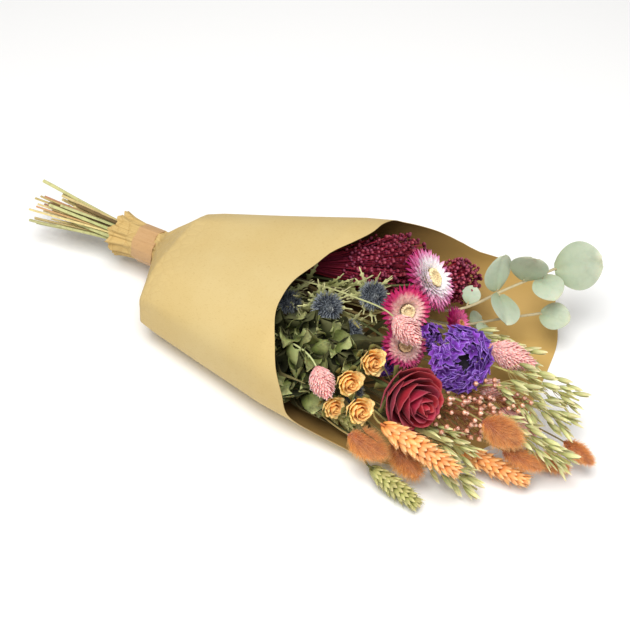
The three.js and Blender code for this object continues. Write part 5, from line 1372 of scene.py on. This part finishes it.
def spray(solid, way, radius, count, reach, seed, first=0.05):
    """A loose spray on its stalk: the stalk's path, where the spray starts, and its branchlets with their
    turns. They leave the axis at golden turns, as curves with one bend, and arch outwards to their ends. The
    random numbers are given back too, to draw the next ones from."""
    rng = np.random.default_rng(seed)
    path = ring_middles(solid, radius)
    share = np.linspace(first, 0.95, count) + rng.uniform(-0.03, 0.03, count)
    turn = np.arange(count) * GOLDEN_TURN + rng.uniform(-0.4, 0.4, count)
    length, wide = reach
    out = wide * np.interp(share, [0, 0.4, 1], [0.75, 0.85, 0.45]) * rng.uniform(0.55, 1.0, count)
    end = about_axis(out, turn, share * length)
    start = np.stack([0 * out, 0 * out, np.maximum(share * length - out * 1.6, 0)], -1)
    v = np.linspace(0, 1, 5)[None, :, None]
    bend = start + (end - start) * (0.6, 0.6, 0.35)
    arches = one_bend(start[:, None], bend[:, None], end[:, None], v)
    foot = path[-1]
    return path, foot, placed(arches, foot, way), turn, rng


for number, (*way, length, radius, count) in OATS.items():
    name = f"oat_{number}"
    length, radius = length * MM, radius * MM
    reach = (length - 14 * MM, radius * 0.85)
    seed = number + 170
    path, foot, arches, turn, rng = spray(name, way, OAT_STALK, count, reach, seed)
    ahead = unit(way)
    glume_long = rng.uniform(15, 19, count) * MM
    limit = length - 1 * MM - (arches[:, -1] - foot) @ ahead
    glume_long = np.minimum(glume_long, np.maximum(limit, 9 * MM))
    lean = unit(leaning(rng.uniform(0.1, 0.5, count), turn, way) + (0, 0, -0.12))
    spread = rng.uniform(0.1, 0.26, count)
    parts = [
        stalk(run_on(path, ahead * length, 0.5, 0.86), OAT_STALK, oat_stem, seed),
        tubes(arches, 0.3 * MM, oat_stem, 3),
        grass_leaves(path, number + 10),
    ]
    frames = directions(lean, turns=rng.uniform(0, 6, count))
    for side, share in ((1, 1.0), (-1, 0.86)):
        opened = unit(frames[:, 2] + side * spread[:, None] * frames[:, 1])
        fits = directions(opened, side * frames[:, 1])
        at = arches[:, -1] - frames[:, 2] * 0.5 * MM
        parts.append(copies(glume, at, fits, glume_long * share, rng.uniform(0.35, 1.0, count), oat_glume))
    size = slender(0.09 * glume_long, 0.62 * glume_long)
    parts.append(copies(seed_shape, arches[:, -1], frames, size, 0.2, oat_glume))
    add_piece(f"oat_spray_{number}", parts, name)

# The flax. Round seed cases with a pearly, rose-gold skin and a short pointed tip stand on fine wiry
# branchlets.

# Way, length, radius and number of seed cases
FLAX = {1: (1, -0.06, 0.2, 78, 24, 72), 2: (1, 0, 0.14, 74, 20, 60)}
FLAX_STALK = 1.5 * MM  # radius
flax_case = plant_finish(
    "flax_seed_case",
    [(0.0, (152, 76, 50)), (0.5, (206, 138, 108)), (1.0, (250, 222, 198))],
    (178, 98, 70), scale=500.0, amount=0.45, ridges=5.0, bump=0.12, depth=0.0003, Roughness=0.2,
    Coat_Weight=0.8, Coat_Roughness=0.1, Specular_IOR_Level=0.7,
)
flax_stem = plant_finish(
    "flax_stem", [(0.0, (130, 92, 54)), (1.0, (158, 92, 60))], (96, 52, 32), scale=200.0, ridges=3.0,
)
seed_case = spun(
    [(0.2, 0), (0.72, 0.12), (1.0, 0.42), (0.94, 0.62), (0.5, 0.9), (0.16, 1.0), (0.05, 1.22)], 8,
)
for number, (*way, length, radius, count) in FLAX.items():
    name = f"flax_{number}"
    length, radius = length * MM, radius * MM
    reach = (length - 3 * MM, radius * 1.05)
    seed = number + 190
    path, foot, arches, turn, rng = spray(name, way, FLAX_STALK, count, reach, seed, first=0.22)
    ahead = unit(way)
    lean = unit(arches[:, -1] - arches[:, -2])
    size = rng.uniform(4.2, 5.6, count)[:, None] * MM * np.array([0.5, 0.5, 0.82])
    at = arches[:, -1] - lean * 0.8 * MM
    parts = [
        stalk(run_on(path, ahead * length, 0.5, 0.9), FLAX_STALK, flax_stem, seed),
        tubes(arches, 0.35 * MM, flax_stem, 3),
        copies(seed_case, at, directions(lean), size, rng.uniform(0.2, 0.9, count), flax_case),
    ]
    add_piece(f"flax_spray_{number}", parts, name)

# The leafy stems. Rose foliage, dried olive green: oval leaves with fine teeth, curled along the midrib, on
# thin leaf stalks. They fill the lower left of the mouth, between the taller blooms, and some deep in it are
# painted darker as shade.

LEAFY = {  # way, length, radius and number of leaves
    1: (0.93, -0.25, 0.22, 88, 24, 40), 2: (0.96, -0.18, 0.06, 88, 22, 40), 3: (0.94, -0.3, 0.06, 84, 22, 40),
}
LEAFY_STALK = 1.7 * MM  # radius
LEAF_ROWS = 15  # rows of points along a leaf
LEAF_THICKNESS = 0.02  # of a leaf one unit long
# Each kind of leaf: how far its sides stand up and its length is arched
LEAF_KINDS = [(0.3, 0.12), (0.55, -0.1), (0.16, 0.3), (0.42, 0.2)]
dry_leaf = plant_finish(
    "dry_leaf",
    [(0.0, (66, 72, 30)), (0.5, (120, 130, 66)), (1.0, (176, 178, 118))],
    (50, 48, 28), scale=110.0, amount=0.85, ridges=0.0, bump=0.45, depth=0.0008, Subsurface_Weight=0.08,
    Subsurface_Scale=0.002,
)
# A darker copy of the dry leaf for leaves deep in the mouth: painted shade.
shaded_rose_leaf = plant_finish(
    "shaded_rose_leaf", [(0.0, (32, 34, 19)), (0.5, (52, 56, 30)), (1.0, (90, 90, 54))],
    (34, 30, 20), scale=110.0, amount=0.8, ridges=0.0, bump=0.45, depth=0.0008,
)


def leaf_shape(columns, width, cup, bend, teeth=0.0, foot=0.1, oval=0.75, crinkle=0.0):
    """One leaf along Z that looks towards +Y, as a closed thin sheet: an oval outline with fine teeth, its
    sides raised by `cup` and its length arched by `bend`, with a shallow groove along the midrib and a
    crinkled rim."""
    v, u = grid_shares(LEAF_ROWS, columns)
    across = 2 * u - 1
    edge = 1 + teeth * np.abs(((v * 9) % 1) * 2 - 1) * (np.abs(across) > 0.9)
    half = width / 2 * np.maximum(foot, np.sin(np.pi * np.clip(0.03 + 0.95 * v, 0, 1)) ** oval) * edge
    ribs = 0.012 * np.cos(np.pi * 2 * (v * 6 - np.abs(across) * 1.2)) * (1 - np.abs(across))
    rise = cup * across ** 2 - 0.03 * np.exp(-(across / 0.16) ** 2) + ribs + bend * np.sin(np.pi * v)
    rise = rise + crinkle * across ** 2 * np.sin(14 * v + 5 * across)
    # A dry leaf's sides roll in: the more they rise, the less they reach out.
    reach = across * half * (1 - 0.5 * abs(cup) * across ** 2)
    surface = np.stack([-reach, rise + 0 * half, v + 0 * u], -1)
    return sheets(surface[None], LEAF_THICKNESS, None)


for number, (*way, length, radius, count) in LEAFY.items():
    name = f"leafy_stem_{number}"
    length, radius = length * MM, radius * MM
    seed = number + 210
    rng = np.random.default_rng(seed)
    path = ring_middles(name, LEAFY_STALK)
    foot = path[-1]
    ahead = unit(way)
    share = np.linspace(0.02, 0.98, count)
    turn = np.arange(count) * GOLDEN_TURN
    tilt = rng.uniform(0.4, 1.3, count) * np.interp(share, [0, 0.8, 1], [1, 0.8, 0.4])
    lean = unit(leaning(tilt, turn, way) + (0, 0, 0.25))
    size = radius * rng.uniform(0.75, 1.3, count) * np.interp(share, [0, 0.8, 1], [1, 1, 0.8])
    twig_long = rng.uniform(2, 16, count)[:, None] * MM
    spot = foot + ahead * (share * (length - radius * 0.9))[:, None]
    root = in_wrap(spot + lean * twig_long, 0.8)
    loose = rng.normal(0, 0.5, (count, 3))
    face = leaning(tilt - np.pi / 2, turn, way) + loose + (0, 0, 0.4)
    parts = [
        stalk(run_on(path, ahead * length, 0.45, 0.8), LEAFY_STALK, green_stalk, seed),
        tubes(np.stack([spot - lean * 1 * MM, root + lean * 0.5 * MM], 1), 0.5 * MM, green_stalk, 4),
    ]
    for kind, (cup, bend) in enumerate(LEAF_KINDS):
        pick = np.arange(count) % len(LEAF_KINDS) == kind
        shape = leaf_shape(9, 0.8, cup, bend, teeth=0.09, crinkle=0.07)
        tones = rng.uniform(0, 1, pick.sum())
        # Every fourth leaf, and the second kind on the third stem, takes the darker copy: painted shade.
        leaves = copies(
            shape, root[pick], directions(lean[pick], face[pick]), size[pick], tones,
            shaded_rose_leaf if kind == 3 or (kind == 1 and number == 3) else dry_leaf,
        )
        parts.append({**leaves, "points": in_wrap(leaves["points"], 0.95)})
    add_piece(f"rose_foliage_{number}", parts, name)

# The eucalyptus. Round, pale grey-green leaves with a waxy bloom sit flat on a thin woody branch, dried
# stiff. Two branches lean out over the far side of the paper.

EUCALYPTUS = {
    1: ((0.62, 0.74, 0.2), 100, [  # way and length of the branch; then each leaf: share, way, face and size
        (0.1, (-0.1, 0.9, 0.4), (0.3, -0.4, 0.85), 20), (0.4, (-0.05, 0.3, 0.95), (0.9, -0.3, 0.2), 38),
        (0.42, (0.6, -0.76, -0.2), (0.5, 0.1, 0.75), 36), (0.66, (0.25, -0.1, 0.95), (0.4, -0.85, 0.3), 38),
        (0.84, (0.75, -0.65, -0.1), (0.2, -0.4, 0.85), 32), (0.96, (0.85, 0.2, 0.45), (0.25, -0.6, 0.74), 48),
    ]),
    2: ((0.8, 0.52, 0.14), 76, [
        (0.12, (0.2, 0.8, -0.35), (0.4, -0.3, 0.85), 22), (0.3, (0.55, -0.8, 0.1), (0.5, 0.2, 0.85), 22),
        (0.96, (0.9, 0.1, 0.1), (0.1, -0.4, 0.9), 30),
    ]),
}
EUCALYPTUS_STALK = 1.9 * MM  # radius
waxy_leaf = plant_finish(
    "eucalyptus_leaf",
    [(0.0, (150, 158, 124)), (0.3, (166, 178, 152)), (0.8, (180, 190, 168)), (1.0, (196, 200, 174))],
    (142, 158, 134), scale=90.0, amount=0.55, ridges=0.0, bump=0.25, Roughness=0.5,
    Subsurface_Weight=0.1, Subsurface_Scale=0.002,
)
woody_twig = plant_finish(
    "eucalyptus_twig", [(0.0, (198, 180, 134)), (1.0, (188, 176, 140))], (140, 112, 74), scale=200.0,
)
round_leaf = [
    leaf_shape(13, 1.0, cup, bend, foot=0.06, oval=0.56) for cup, bend in ((0.05, 0.06), (-0.04, -0.05))
]
for number, (way, length, leaves) in EUCALYPTUS.items():
    name = f"eucalyptus_{number}"
    length = length * MM
    seed = number + 230
    rng = np.random.default_rng(seed)
    path = ring_middles(name, EUCALYPTUS_STALK)
    foot = path[-1]
    ahead = unit(way)
    root = np.array([foot + ahead * length * share for share, _, _, _ in leaves])
    lean = unit(np.array([w for _, w, _, _ in leaves]))
    face = np.array([f for _, _, f, _ in leaves])
    size = np.array([s for _, _, _, s in leaves]) * MM
    tone = rng.uniform(0.5, 0.9, len(leaves))
    parts = [
        stalk(run_on(path, ahead * length, 0.5, 1), EUCALYPTUS_STALK, woody_twig, seed),
        tubes(np.stack([root - lean * 1 * MM, root + lean * 4 * MM], 1), 0.8 * MM, woody_twig, 5),
    ]
    for kind, shape in enumerate(round_leaf):
        pick = np.arange(len(leaves)) % len(round_leaf) == kind
        at, turned = root[pick] + lean[pick] * 2 * MM, directions(lean[pick], face[pick])
        parts.append(copies(shape, at, turned, size[pick] - 2 * MM, tone[pick], waxy_leaf))
    add_piece(f"eucalyptus_branch_{number}", parts, name)

# The stage. A pale table under a large soft lamp and a weak side lamp, in a white room, seen by the camera at
# the photograph's viewing angle.

TABLE_SIZE = 12
TABLE_GAP = 0.5 * MM  # keeps the table's face clear of the paper's
ROOM_LIGHT = 0.36

table_finish = new_finish("pale_table", Roughness=0.9, Base_Color=tint(250, 250, 250))[0]
bpy.ops.mesh.primitive_plane_add(size=TABLE_SIZE, location=(0, 0, -TABLE_GAP))
table = bpy.context.object
table.name = "table_top"
table.data.materials.append(table_finish)


def area_light(name, place, aim, size, power, colour):
    """A square lamp that looks from its place at a point."""
    light = bpy.data.lights.new(name, "AREA")
    light.size = size
    light.energy = power
    light.color = colour
    lamp = bpy.data.objects.new(name, light)
    lamp.location = place
    lamp.rotation_euler = (Vector(aim) - Vector(place)).to_track_quat("-Z", "Y").to_euler()
    bpy.context.scene.collection.objects.link(lamp)


area_light("key_light", (0.2, -0.55, 1.75), aim=(0, 0, 0.05), size=1.2, power=35, colour=(1, 0.99, 0.97))
area_light("fill_light", (1.2, -0.8, 0.9), aim=(0.05, 0, 0.05), size=1.2, power=5, colour=(1, 1, 1))
world = bpy.data.worlds.new("studio")
bpy.context.scene.world = world
world.use_nodes = True
world.node_tree.nodes["Background"].inputs["Color"].default_value = (1, 1, 1, 1)
world.node_tree.nodes["Background"].inputs["Strength"].default_value = ROOM_LIGHT
bpy.context.scene.view_settings.view_transform = "Standard"

CAMERA_TURN, CAMERA_TILT = np.radians(30), np.radians(45)  # away from -Y, and down
CAMERA_DISTANCE = 1.3
CAMERA_AIM = np.array([190.4, -13.1, 47.5]) * MM + TABLE_SPOT
VIEW_PIXELS, FOCAL_PIXELS, SENSOR = 630, 1430, 36
back = np.array([
    np.sin(CAMERA_TURN) * np.cos(CAMERA_TILT),
    -np.cos(CAMERA_TURN) * np.cos(CAMERA_TILT),
    np.sin(CAMERA_TILT),
])
camera_data = bpy.data.cameras.new("camera")
camera_data.sensor_width = SENSOR
camera_data.lens = FOCAL_PIXELS / VIEW_PIXELS * SENSOR
camera = bpy.data.objects.new("camera", camera_data)
camera.location = CAMERA_AIM + back * CAMERA_DISTANCE
camera.rotation_euler = Vector(-back).to_track_quat("-Z", "Y").to_euler()
bpy.context.scene.collection.objects.link(camera)
bpy.context.scene.camera = camera
